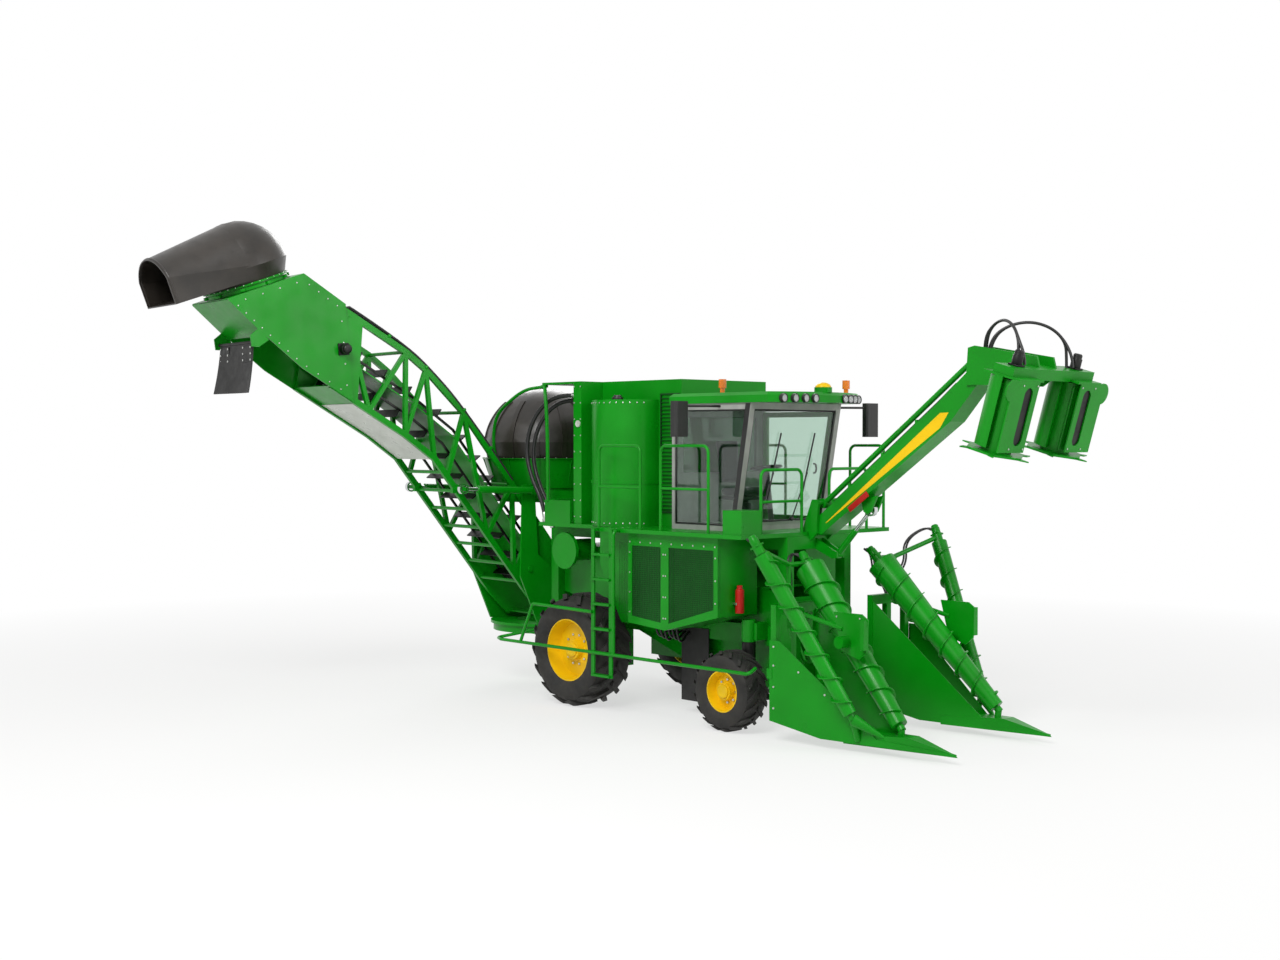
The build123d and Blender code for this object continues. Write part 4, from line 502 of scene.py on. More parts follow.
# Bolt rows: X and Z of one end, X and Z of the other, count
WINDOW_BOLTS = [(1.15, 2.235, 2.66, 2.235, 9), (1.145, 1.34, 1.145, 2.1, 4), (1.76, 1.3, 1.76, 2.1, 4),
                (1.8, 1.3, 1.8, 2.1, 4), (2.665, 1.55, 2.665, 2.1, 3)]
SCREEN_Y, BACKING_Y, COOLER_FACE_Y = -1.2965, -1.2925, -1.3
SCREEN_CELL, SCREEN_WIRE = 0.024, 0.005
for number, (x0, x1, z0, z1, top) in enumerate(WINDOWS):
    clear()
    low = min(z0, z1)
    bpy.ops.mesh.primitive_grid_add(
        x_subdivisions=round((x1 - x0) / SCREEN_CELL), y_subdivisions=round((top - low) / SCREEN_CELL),
        size=1, location=((x0 + x1) / 2, SCREEN_Y, (low + top) / 2), rotation=(pi / 2, 0, 0),
        scale=(x1 - x0, top - low, 1))
    screen = bake()
    pick_faces(screen)
    bpy.ops.mesh.bisect(plane_co=(x0, SCREEN_Y, z0), plane_no=(z1 - z0, 0, x0 - x1), clear_outer=True)
    applied(screen, "WIREFRAME", thickness=SCREEN_WIRE, use_even_offset=False)
    keep(screen, f"cooler_screen_{number}", "chassis", WIRE_GREEN)
    outline = [(x, BACKING_Y, z) for x, z in ((x0, z0), (x1, z1), (x1, top), (x0, top))]
    # The panel behind each screen takes the darker green: painted shade in the cooler's depths.
    backing = rounded(plate(outline, (0, 0.002, 0)), 0.5, 1)
    keep(backing, f"cooler_backing_{number}", "chassis", PAINTED_SHADE_GREEN)
points = []
for x0, z0, x1, z1, count in WINDOW_BOLTS:
    points += bolt_row((x0, COOLER_FACE_Y, z0), (x1, COOLER_FACE_Y, z1), count)
bolts("cooler_bolts", "chassis", points, (0, -1, 0), 12, 8)
print("screens in", len(WINDOWS), "windows")

# %% [markdown]
# ## Extractor collar
# The hood turns inside a flared steel collar. It starts as an open cylinder: the upper edge is scaled out, a
# flange is extruded from it, and Solidify gives the sheet its thickness. Gussets stiffen it, and bolts close
# it.

# %% Extractor collar
AXIS = Vector((-2.1, 0, 0))
COLLAR_LOW, COLLAR_HIGH = 2.85, 3.27
COLLAR_LIP, COLLAR_FOOT, COLLAR_TOP, COLLAR_RIM = 0.737, 0.768, 0.885, 0.925
COLLAR_SHEET, COLLAR_BOLTS = 0.008, 0.907


def widen(radius, wider, z):
    """The picked edge at that height goes from one radius about the hood's axis to another."""
    grow = wider / radius
    bpy.ops.transform.resize(value=(grow, grow, 1), center_override=AXIS + Vector((0, 0, z)))


clear()
bpy.ops.mesh.primitive_cylinder_add(
    vertices=96, radius=COLLAR_FOOT, depth=COLLAR_HIGH - COLLAR_LOW, end_fill_type="NOTHING",
    location=AXIS + Vector((0, 0, (COLLAR_LOW + COLLAR_HIGH) / 2)))
collar = bake()
pick(collar, "VERT", lambda point: point.co.z > COLLAR_HIGH - 0.01)
widen(COLLAR_FOOT, COLLAR_TOP, COLLAR_HIGH)
bpy.ops.mesh.extrude_edges_move()
widen(COLLAR_TOP, COLLAR_RIM, COLLAR_HIGH)
pick(collar, "VERT", lambda point: point.co.z < COLLAR_LOW + 0.01)
bpy.ops.mesh.extrude_edges_move()
widen(COLLAR_FOOT, COLLAR_LIP, COLLAR_LOW)
applied(collar, "SOLIDIFY", thickness=COLLAR_SHEET, offset=1.0)
keep(rounded(collar, 2), "extractor_collar", "chassis", GREEN)
gusset = plate([(COLLAR_FOOT + 0.004, -0.004, COLLAR_LOW), (COLLAR_RIM - 0.005, -0.004, COLLAR_HIGH - 0.002),
                (COLLAR_TOP, -0.004, COLLAR_HIGH - 0.002)], (0, COLLAR_SHEET, 0))
turns = [Matrix.Translation(AXIS) @ Matrix.Rotation(radians(30 * i + 15), 4, "Z") for i in range(12)]
keep(copies(rounded(gusset, 1, 1), turns), "collar_gussets", "chassis", GREEN)
rim = [AXIS + point for point in bolt_circle(COLLAR_BOLTS, COLLAR_HIGH + 0.004, 36)]
bolts("collar_bolts", "chassis", rim, (0, 0, 1), 10, 7)
print("collar", COLLAR_FOOT, "to", COLLAR_TOP, "m radius")

# %% [markdown]
# ## Guard rail beside the hood
# A bent tube keeps branches off the hood. Its line is a NURBS curve with a round section, made into a mesh. A
# post carries it in front, and a flat foot and a clip hold it.

# %% Hood guard
GUARD_LINE = [(-2.06, -0.93, 3.24), (-2.06, -0.985, 3.36), (-2.06, -0.99, 3.66), (-1.98, -0.99, 3.9),
              (-1.7, -0.985, 4.08), (-1.4, -0.98, 4.22), (-1.12, -0.975, 4.262), (-0.92, -0.97, 4.262)]
POST_LINE = [(-0.8, -1.03, 2.69), (-0.8, -1.035, 3.1), (-0.8, -1.04, 3.6), (-0.82, -1.045, 4.0),
             (-0.85, -1.04, 4.16), (-0.9, -1.0, 4.24), (-0.94, -0.98, 4.262)]
guard = joined([tube(GUARD_LINE, 0.024), tube(POST_LINE, 0.026)])
keep(guard, "hood_guard", "chassis", GREEN)
foot = rounded(box((-2.12, -0.96, 3.225), (-2.0, -0.9, 3.272)), 4)
clip = rounded(box((-1.0, -1.0, 4.255), (-0.9, -0.94, 4.291)), 4)
keep(joined([foot, clip]), "hood_guard_feet", "chassis", GREEN)
print("hood guard on", len(GUARD_LINE), "points")

# %% [markdown]
# ## Return hoses
# Two thick hoses hang in a loop from under the engine cover's roof down to the rear panel. A free hose is one
# smooth NURBS curve with its real diameter. Fittings hold both ends.

# %% Return hoses
HOSE_LINE = [(-0.30, -0.93, 4.13), (-0.62, -0.95, 4.15), (-0.96, -0.985, 4.03), (-1.20, -1.03, 3.72),
             (-1.26, -1.045, 3.34), (-1.13, -1.04, 2.98), (-0.95, -1.00, 2.68), (-0.90, -0.985, 2.40)]


def hose(name, body, points, diameter):
    """A free hose of that diameter along those points."""
    clear()
    data = tube_line(points)
    data.name = name
    bare = bpy.data.objects.new(name, data)
    bpy.context.scene.collection.objects.link(bare)
    line = bpy.data.meshes.new_from_object(bare)
    bpy.data.meshes.remove(line)
    data.bevel_depth = diameter / 2
    data.use_fill_caps = True
    keep(bare, name, body, HOSE_RUBBER)


for number, shift in enumerate(((0, 0, 0), (0.02, 0.1, -0.06))):
    points = [tuple(Vector(point) + Vector(shift)) for point in HOSE_LINE]
    hose(f"return_hose_{number}", "chassis", points, 0.06)
    collars = []
    for a, b, reach in ((points[0], points[1], 0.09), (points[-1], points[-2], 0.14)):
        a, along = Vector(a), (Vector(b) - Vector(a)).normalized()
        sleeve = round_bar(a - along * 0.02, a + along * reach, 0.036, 24)
        nut = round_bar(a + along * 0.01, a + along * 0.05, 0.048, 6)
        collars += [rounded(sleeve, 3), rounded(nut, 3)]
    keep(joined(collars), f"return_fittings_{number}", "chassis", ZINC)

# %% [markdown]
# ## Hoses under the cooler
# A bundle of hoses leaves the chassis beam, sags outwards and rises into the cooler's floor. Each one is a
# little different, as hand-fitted hoses are.

# %% Cooler hoses
for number in range(6):
    x, sag = 1.16 + 0.075 * number, 0.02 * (number % 3)
    route = [(x, -0.6, 1.06), (x, -0.66, 1.05), (x + 0.01, -0.74, 0.99 - sag), (x + 0.03, -0.83, 1.0 - sag),
             (x + 0.045, -0.885, 1.07), (x + 0.05, -0.9, 1.13), (x + 0.05, -0.9, 1.2)]
    hose(f"cooler_hose_{number}", "chassis", route, 0.032)

# %% [markdown]
# ## Boom stripe
# The topper's boom carries a bare yellow stripe on each side, wide at the front and thin at the rear. It is a
# decal, so it is a plate about a millimetre thick. Hoses lie on the boom's back under clips, and a red stop
# bar sits on its right side.

# %% Boom stripe, boom hoses and stop
BOOM_START = Vector((3.34, 0, 2.37))
BOOM_ALONG, BOOM_UP = Vector((0.814, 0, 0.581)), Vector((-0.581, 0, 0.814))
BOOM_FACE, STRIPE_THICK = 0.1402, 0.0012
STRIPE = [(0.15, 0.07), (2.2, 0.025), (2.4, 0.1), (2.3, 0.165), (1.2, 0.12), (0.15, 0.078)]
STOP_BAR = [(0.55, -0.035), (0.9, -0.035), (0.9, 0.035), (0.55, 0.035)]
BOOM_BACK = [(3.5, 2.775), (3.6, 2.85), (4.3, 3.387), (5.0, 3.925), (5.12, 4.02), (5.3, 4.17)]
BACK_SLOPE = 0.766


def on_boom(along, up, y):
    """Point on the boom: distance along its lower edge, up from it, and across."""
    return BOOM_START + BOOM_ALONG * along + BOOM_UP * up + Vector((0, y, 0))


for name, side in SIDES:
    outline = [on_boom(along, up, side * BOOM_FACE) for along, up in STRIPE]
    stripe = plate(outline, (0, side * STRIPE_THICK, 0))
    keep(stripe, "boom_stripe_" + name, "boom", YELLOW)
boom_lines = [tube([(x, y, z) for x, z in BOOM_BACK], 0.017) for y in (-0.075, -0.025, 0.025, 0.075)]
keep(joined(boom_lines), "boom_hoses", "boom", HOSE_RUBBER)
clips = []
for x in (3.75, 4.25, 4.75):
    rise = (x - 3.5) * BACK_SLOPE
    clips.append(rounded(box((x - 0.02, -0.105, 2.748 + rise), (x + 0.02, 0.105, 2.81 + rise)), 4))
keep(joined(clips), "boom_hose_clips", "boom", GREEN)
stop = plate([on_boom(along, up, -0.16) for along, up in STOP_BAR], (0, 0.0205, 0))
keep(rounded(stop, 4), "boom_stop", "boom", RED)
print("boom stripe and", len(boom_lines), "hoses")

# %% [markdown]
# ## Topper motors
# A hydraulic motor drives each cutting disc from above: a flange, a round body and a cap, drawn out of one
# cylinder by insets. The hoses loop over from beside the levelling link's front end, and ride on the head.

# %% Topper motors and hoses
HEAD_UP, HEAD_AHEAD = Vector((0.275637, 0, 0.961262)), Vector((0.961262, 0, -0.275637))
DRUM_X, DRUM_Y, DRUM_Z = 6.16, 0.57, 3.4
DRUM_TOP = 0.96


def motor(base, axis, radius, height):
    """A hydraulic motor: a square flange and a round body with a stepped cap."""
    base, axis = Vector(base), Vector(axis).normalized()
    body = round_bar(base, base + axis * height, radius, 24)
    step_out(body, axis, 0.15 * radius, 0.35 * height)
    bpy.ops.mesh.inset(thickness=0.2 * radius, depth=0.2 * radius)
    side = 1.12 * radius
    flange = box((-side, -side, 0), (side, side, 0.02))
    flange.data.transform(Matrix.Translation(base) @ facing(axis))
    return joined([rounded(body, 3), rounded(flange, 5)])


for name, side in SIDES:
    base = Vector((DRUM_X, side * DRUM_Y, DRUM_Z)) + HEAD_UP * DRUM_TOP
    keep(motor(base, HEAD_UP, 0.06, 0.12), "topper_motor_" + name, "boom_head", STEEL)
    for number, shift in enumerate((-0.04, 0.04)):
        top = base + Vector((shift, -side * 0.1, 0.01))
        points = [(5.66, side * (0.02 + 0.03 * number), 4.51), (5.68, side * (0.04 + 0.04 * number), 4.68),
                  (5.84, side * 0.14, 4.82), (6.06, side * 0.26, 4.86), (6.26, side * 0.38, 4.78),
                  (6.38, side * 0.46, 4.62), tuple(top + Vector((0, 0, 0.1))), tuple(top)]
        hose(f"topper_hose_{name}_{number}", "boom_head", points, 0.034)

# %% [markdown]
# ## Scroll motors
# Each scroll hangs from a motor at its top end, and hoses run back to the frame. The motors belong to the
# divider, not to the turning scroll.

# %% Scroll motors and hoses
# Scroll rows: name, lower end, upper end, all for the left side
SCROLLS = [("outer", (4.722, 1.256, 0.458), (3.770, 1.680, 2.215)),
           ("inner", (5.166, 0.930, 0.348), (3.632, 0.669, 1.999))]
MOTOR_GAP, HOSE_GAP = 0.105, 0.18
for name, side in SIDES:
    body = "divider_" + name
    tops = {}
    for kind, low, high in SCROLLS:
        a, b = (Vector((x, side * y, z)) for x, y, z in (low, high))
        axis = (b - a).normalized()
        drive = motor(b + axis * MOTOR_GAP, axis, 0.055, 0.1)
        keep(drive, f"scroll_motor_{kind}_{name}", body, GREEN)
        tops[kind] = b + axis * HOSE_GAP
    frame_end = Vector((3.58, side * 0.94, 1.5))
    for kind, top in tops.items():
        middle = (top + frame_end) / 2
        for number, shift in enumerate((-0.025, 0.025)):
            leave = top + Vector((-0.05, shift, 0))
            points = [leave, leave + Vector((-0.1, 0, 0.05)), middle + Vector((-0.16, shift, 0.3)),
                      middle + Vector((-0.12, shift, 0)), frame_end + Vector((-0.08, 2 * shift, 0.2)),
                      frame_end + Vector((-0.02, 2 * shift, 0.02))]
            hose(f"scroll_hose_{kind}_{name}_{number}", body, [tuple(point) for point in points], 0.026)

# %% [markdown]
# ## Divider fasteners
# The divider's sheets are bolted to its frame from outside. The heads stand along the sheet's own normal.

# %% Divider fasteners
SHEET_REAR, SHEET_FRONT = (3.57, 1.323), (5.94, 0.915)
SHEET_HALF = 0.0072
SHEET_BOLTS = [(0.06, 0.4), (0.06, 0.65), (0.06, 0.9), (0.06, 1.12), (0.4, 0.85), (0.75, 0.62), (1.1, 0.42)]
KNIFE_X, KNIFE_Y, KNIFE_Z = 4.54, 1.031, 1.31
KNIFE_BOLTS = [(-0.2, 0.2), (0.14, 0.2), (0.16, -0.15), (-0.1, -0.14)]
for name, side in SIDES:
    along = Vector((SHEET_FRONT[0] - SHEET_REAR[0], side * (SHEET_FRONT[1] - SHEET_REAR[1]), 0)).normalized()
    normal = Vector((-along.y, along.x, 0)) * side
    rear = Vector((SHEET_REAR[0], side * SHEET_REAR[1], 0)) + normal * SHEET_HALF
    points = [rear + along * distance + Vector((0, 0, z)) for distance, z in SHEET_BOLTS]
    bolts("divider_bolts_" + name, "divider_" + name, points, normal, 13, 8)
    points = [Vector((KNIFE_X + x, side * KNIFE_Y, KNIFE_Z + z)) for x, z in KNIFE_BOLTS]
    bolts("knife_bolts_" + name, "divider_" + name, points, (0, side, 0), 11, 7)
print("divider fasteners on both sides")

# %% [markdown]
# ## Elevator hoses and liner
# Hydraulic lines run up the elevator's upper chord to the head. They are clipped down, so they move with the
# frame. Under the upper run's floor lies a pale liner: bare metal, with a painted reflection of the white
# floor.

# %% Elevator hoses, clips and liner
ELEVATOR_HEADING = radians(-95)
CHORD = [(0.93, 2.97), (1.73, 3.98), (2.33, 4.555), (2.64, 4.79), (3.2, 5.12), (3.5, 5.28)]
LINER_LINE = [(2.2, 3.283), (2.65, 3.6), (3.38, 4.024)]
LINER_HALF = 0.47
HOSE_SIDES, CLIP_SIDES = (0.43, 0.465, 0.5, 0.535), (0.41, 0.55)
CLIP_PLACES = [(1.3, 3.43), (1.73, 3.96), (2.33, 4.53), (2.9, 4.93)]


def on_elevator(along, side, height):
    """Point of the elevator's own frame: distance along its heading, to its left, and height."""
    ahead_x, ahead_y = cos(ELEVATOR_HEADING), sin(ELEVATOR_HEADING)
    return Vector((-2.1 + along * ahead_x - side * ahead_y, along * ahead_y + side * ahead_x, height))


ELEVATOR_AHEAD = on_elevator(1, 0, 0) - on_elevator(0, 0, 0)
ELEVATOR_LEFT = on_elevator(0, 1, 0) - on_elevator(0, 0, 0)
runs = [tube([on_elevator(s, side, z) for s, z in CHORD], 0.015) for side in HOSE_SIDES]
keep(joined(runs), "elevator_hoses", "elevator", HOSE_RUBBER)
clips = []
under = Vector((0, 0, -0.01))
for s, z in CLIP_PLACES:
    a, b = (on_elevator(s, side, z) + under for side in CLIP_SIDES)
    clips.append(round_bar(a, b, 0.026, 12))
keep(rounded(joined(clips), 3), "elevator_hose_clips", "elevator", GREEN)
# The liner stands for the bare metal under the floor; its pale colour is partly a painted reflection of the
# white floor.
liner = []
down = Vector((0, 0, -1))
for (s0, z0), (s1, z1) in zip(LINER_LINE, LINER_LINE[1:]):
    corners = ((s0, -LINER_HALF, z0), (s1, -LINER_HALF, z1), (s1, LINER_HALF, z1), (s0, LINER_HALF, z0))
    liner.append(plate([on_elevator(*corner) + down * 0.012 for corner in corners], down * 0.006))
keep(joined(liner), "elevator_liner_painted_reflection", "elevator", PALE_SHEET_AND_REFLECTION)
drive = motor(on_elevator(3.6, 0.56, 4.72), ELEVATOR_LEFT, 0.07, 0.1)
keep(drive, "elevator_motor", "elevator", STEEL)
print("elevator hoses, liner and motor")

# %% [markdown]
# ## Bin flap
# The flap is a sheet of ply rubber held by bolted straps. It hangs in a slight curl, so a grid's points are
# moved out towards its lower corners before Solidify gives the thickness. It stands for the plain solid and
# swings with it.

# %% Bin flap
FLAP_WIDTH, FLAP_DROP, FLAP_THICK = 0.98, 0.62, 0.014
ROD_HALF, ROD_Z = 0.535, 4.77
STRAP_LOW, STRAP_HIGH = 4.52, 4.735
clear()
bpy.ops.mesh.primitive_grid_add(x_subdivisions=24, y_subdivisions=24, size=1)
flap = bpy.context.object
for vertex in flap.data.vertices:
    across, down = 2 * vertex.co.x, 0.5 - vertex.co.y
    curl = 0.05 * down * down + 0.035 * across * across * down - 0.02 * sin(2.2 * across) * down
    vertex.co = (FLAP_WIDTH * vertex.co.x, FLAP_DROP * vertex.co.y, curl)
applied(flap, "SOLIDIFY", thickness=FLAP_THICK, offset=0)
stand = Matrix.Translation(on_elevator(4.832, 0, 4.44)) @ Matrix.Rotation(radians(-5), 4, "Z")
flap.data.transform(stand @ Matrix.Rotation(pi / 2, 4, "X"))
rod = round_bar(on_elevator(4.83, -ROD_HALF, ROD_Z), on_elevator(4.83, ROD_HALF, ROD_Z), 0.02, 16)
flap = keep(joined([flap, rounded(rod, 2)]), "bin_flap_sheet", "flap", SHEET_RUBBER)
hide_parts("bin_flap")
straps = []
for low, high in ((-0.48, -0.2), (0.2, 0.48)):
    corners = ((low, STRAP_HIGH), (high, STRAP_HIGH), (high, STRAP_LOW), (low, STRAP_LOW))
    outline = [on_elevator(4.8405, t, z) for t, z in corners]
    straps.append(plate(outline, ELEVATOR_AHEAD * 0.008))
keep(rounded(joined(straps), 2, 1), "flap_straps", "flap", STEEL)
points = [on_elevator(4.8485, t, z) for t in (-0.45, -0.23, 0.23, 0.45) for z in (4.55, 4.63, 4.71)]
bolts("flap_bolts", "flap", points, ELEVATOR_AHEAD, 15, 9)
print("bin flap", FLAP_WIDTH, "by", FLAP_DROP, "m")

# %% [markdown]
# ## Cab seat
# A padded seat is sewn cloth round foam. Each pad starts a little small, is remeshed to even cells, and is
# blown up by a cloth simulation with no gravity. The swell is capped so that the pads stay in their place.

# %% Seat pads
PAD_VOXEL, PAD_CAP = 0.011, 0.022
PAD_PRESSURE, PAD_FRAMES = 4, 20
CUSHION_LOW, CUSHION_HIGH = (1.68, -0.225, 2.83), (2.12, 0.225, 2.9)
BACK_SIDE, BACK_WIDTH = -0.205, 0.41
BACK_OUTLINE = [(1.672, 2.95), (1.722, 2.96), (1.622, 3.54), (1.575, 3.54)]


def pad(piece):
    """The piece swollen into a cushion by cloth pressure, with the swell capped and one subdivision."""
    applied(piece, "REMESH", mode="VOXEL", voxel_size=PAD_VOXEL)
    rest = [vertex.co.copy() for vertex in piece.data.vertices]
    cloth_step = piece.modifiers.new("cloth", "CLOTH")
    cloth_step.settings.use_pressure = True
    cloth_step.settings.uniform_pressure_force = PAD_PRESSURE
    cloth_step.settings.effector_weights.gravity = 0
    for number in range(1, PAD_FRAMES + 1):
        bpy.context.scene.frame_set(number)
    only(piece)
    bpy.ops.object.modifier_apply(modifier=cloth_step.name)
    bpy.context.scene.frame_set(1)
    for vertex, place in zip(piece.data.vertices, rest):
        move = vertex.co - place
        vertex.co = place + move * min(1.0, PAD_CAP / max(move.length, 1e-6))
    return applied(piece, "SUBSURF", levels=1, render_levels=1)


seat_pad = rounded(box(CUSHION_LOW, CUSHION_HIGH), 30, 3)
seat_pad = keep(pad(seat_pad), "seat_cushion", "chassis", SEAT_CLOTH, 60)
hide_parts("seat")
back_pad = plate([(x, BACK_SIDE, z) for x, z in BACK_OUTLINE], (0, BACK_WIDTH, 0))
back_pad = rounded(back_pad, 18, 3)
back_pad = keep(pad(back_pad), "seat_back", "chassis", SEAT_CLOTH, 60)
post = round_bar((1.9, 0, 2.461), (1.9, 0, 2.72), 0.11, 24)
step_out(post, (0, 0, 1), 0.04, 0.05)
pan = rounded(box((1.67, -0.22, 2.76), (2.1, 0.22, 2.8)), 8)
keep(joined([rounded(post, 5), pan]), "seat_pedestal", "chassis", TRIM_PLASTIC)
print("seat cushion and back")

# %% [markdown]
# ## Cab trim
# Black seals line the glass, bezels frame the lamps, and two long wipers rest on the windscreen. The mirrors
# have bright faces to the rear. Each is a bar or a box at its real place, bevelled or hollowed.

# %% Window seals and pillar
FLOOR_Z, HEAD_Z = 2.46, 3.99
SCREEN_FOOT_X, SCREEN_HEAD_X, SCREEN_INSET = 2.56, 2.83, 0.022
FRONT_SEAL = [(-0.76, 2.515), (0.76, 2.515), (0.76, 3.9), (-0.76, 3.9)]
SIDE_SEAL_Y, SIDE_SEAL = -0.832, [(1.512, 2.475), (2.48, 2.475), (2.725, 3.9), (1.512, 3.9)]
PILLAR_Y, PILLAR = -0.852, [(2.49, 2.47), (2.56, 2.47), (2.82, 3.98), (2.74, 3.98)]


def screen_point(y, z, out):
    """Point that far off the windscreen's outer face."""
    slope = (SCREEN_HEAD_X - SCREEN_FOOT_X) / (HEAD_Z - FLOOR_Z)
    return Vector((SCREEN_FOOT_X + slope * (z - FLOOR_Z) - SCREEN_INSET + out, y, z))


def seal(corners):
    """A seal of round section along a closed loop of corners."""
    return joined([round_bar(a, b, 0.012, 8) for a, b in zip(corners, corners[1:] + corners[:1])])


front = [screen_point(y, z, 0.004) for y, z in FRONT_SEAL]
right = [Vector((x, SIDE_SEAL_Y, z)) for x, z in SIDE_SEAL]
seals = joined([seal(front), seal(right)])
keep(rounded(seals, 2, 1), "window_seals", "chassis", TRIM_PLASTIC)
pillar = rounded(plate([(x, PILLAR_Y, z) for x, z in PILLAR], (0, -0.004, 0)), 1.5, 1)
keep(pillar, "pillar_trim", "chassis", TRIM_PLASTIC)
print("seals round", len(FRONT_SEAL), "corners in front and", len(SIDE_SEAL), "at the side")

# %% Wipers and mirror faces
# Wiper rows: Y of the boss and of the blade's middle
WIPERS = [(-0.45, -0.28), (0.18, 0.36)]
MIRRORS = [(2.12, -1.38), (2.88, 1.38)]
wipers = []
for y0, y1 in WIPERS:
    arm = round_bar(screen_point(y0, 2.53, 0.03), screen_point(y1, 3.12, 0.03), 0.009, 10)
    blade = round_bar(screen_point(y1 - 0.05, 2.72, 0.022), screen_point(y1 + 0.05, 3.62, 0.022), 0.011, 10)
    boss = round_bar(screen_point(y0, 2.53, 0.006), screen_point(y0, 2.53, 0.045), 0.026, 16)
    wipers += [rounded(arm, 2), rounded(blade, 3), rounded(boss, 4)]
keep(joined(wipers), "wipers", "chassis", TRIM_PLASTIC)
faces = []
for x, y in MIRRORS:
    faces.append(rounded(box((x - 0.058, y - 0.085, 3.61), (x - 0.052, y + 0.085, 3.97)), 2, 1))
keep(joined(faces), "mirror_faces", "chassis", CHROME)
print(len(WIPERS), "wipers and", len(MIRRORS), "mirror faces")

# %% Lamp bezels, receiver dome and door grip
LAMP_YS = (-0.7, -0.56, -0.42, -0.28, 0.28, 0.42, 0.56, 0.7)
LAMP_ARC_X, LAMP_ARC_DROP, LAMP_ARC_HALF, LAMP_Z = 3.38, 0.26, 0.88, 4.04
GRIP_X, GRIP_LINE = 2.36, [(0.858, 3.1), (0.9, 3.1), (0.91, 3.16), (0.9, 3.22), (0.858, 3.22)]
bezels = []
for y in LAMP_YS:
    x = LAMP_ARC_X - LAMP_ARC_DROP * (y / LAMP_ARC_HALF) ** 2
    ring = round_bar((x - 0.02, y, LAMP_Z), (x + 0.03, y, LAMP_Z), 0.056, 20)
    pick_faces(ring, (1, 0, 0))
    bpy.ops.mesh.inset(thickness=0.012, depth=0.0)
    bpy.ops.mesh.delete(type="FACE")
    bezels.append(applied(ring, "SOLIDIFY", thickness=0.004, offset=-1.0))
keep(joined(bezels), "lamp_bezels", "chassis", TRIM_PLASTIC)
bpy.ops.mesh.primitive_uv_sphere_add(segments=24, ring_count=12, radius=0.1, location=(3.25, 0, 4.18),
                                     scale=(1, 1, 0.62))
dome = bake()
pick_faces(dome)
bpy.ops.mesh.bisect(plane_co=(0, 0, 4.178), plane_no=(0, 0, 1), clear_inner=True, use_fill=True)
keep(dome, "receiver_dome", "chassis", YELLOW, 50)
grip = tube([(GRIP_X, y, z) for y, z in GRIP_LINE], 0.012)
keep(grip, "door_grip", "door", TRIM_PLASTIC)
print(len(LAMP_YS), "bezels, a dome and a grip")

# %% [markdown]
# ## Engine cover and tank details
# Louvres let the engine breathe, a cap closes the tank, and bolts hold the panel edges. A red canister is
# strapped to the cooler's front. A louvre is a slat tilted in a frame, modelled once and repeated.

# %% Engine louvres
SLAT_Y, SLAT_TILT, SLAT_PITCH = -0.623, radians(35), 0.05
LOUVRE_RAILS = [((1.0, -0.635, 2.58), (1.02, -0.611, 4.14)), ((1.34, -0.635, 2.58), (1.36, -0.611, 4.14)),
                ((1.0, -0.635, 4.12), (1.36, -0.611, 4.14)), ((1.0, -0.635, 2.58), (1.36, -0.611, 2.6))]
slat = box((1.02, -0.632, 0), (1.34, -0.614, 0.008))
tilt = Matrix.Rotation(SLAT_TILT, 4, "X")
slat.data.transform(Matrix.Translation((0, SLAT_Y, 0)) @ tilt @ Matrix.Translation((0, -SLAT_Y, 0)))
slats = copies(rounded(slat, 2, 1), [Matrix.Translation((0, 0, 2.62 + SLAT_PITCH * i)) for i in range(30)])
rails = [rounded(box(low, high), 3, 1) for low, high in LOUVRE_RAILS]
# The louvres take the darker green: painted shade between the slats.
keep(joined([slats] + rails), "engine_louvres", "chassis", PAINTED_SHADE_GREEN)
print("louvres in a frame of", len(LOUVRE_RAILS), "rails")

# %% Tank cap, gauge and panel bolts
TANK_X, TANK_Y, TANK_RADIUS = 0.43, -0.61, 0.53
COVER_LOW, COVER_HIGH = 2.5, 4.25
cap = round_bar((TANK_X, -0.86, 4.055), (TANK_X, -0.86, 4.1), 0.075, 24)
step_out(cap, (0, 0, 1), 0.02, 0.025)
keep(rounded(cap, 4), "tank_cap", "chassis", TRIM_PLASTIC)
dial = round_bar((-0.2, -0.999, 3.75), (-0.2, -1.02, 3.75), 0.045, 24)
pick_faces(dial, (0, -1, 0))
bpy.ops.mesh.inset(thickness=0.008, depth=-0.004)
keep(rounded(dial, 1.5, 1), "filter_gauge", "chassis", PALE_SHEET_AND_REFLECTION)
points = []
for x in (-0.28, -0.155):
    points += bolt_row((x, -1.0, COVER_LOW), (x, -1.0, COVER_HIGH), 9)
bolts("cover_bolts", "chassis", points, (0, -1, 0), 11, 7)
places = []
for z in (2.44, 4.02):
    for turn in [radians(-155 + 10 * i) for i in range(14)]:
        point = (TANK_X + TANK_RADIUS * cos(turn), TANK_Y + TANK_RADIUS * sin(turn), z)
        places.append(Matrix.Translation(point) @ facing((cos(turn), sin(turn), 0)))
keep(copies(bolt(10, 7), places), "tank_bolts", "chassis", ZINC)
points = []
for z in (COVER_LOW, COVER_HIGH):
    points += bolt_row((-0.26, 1.0, z), (1.34, 1.0, z), 9)
bolts("cover_bolts_left", "chassis", points, (0, 1, 0), 11, 7)
print(len(places), "bolts on the tank")

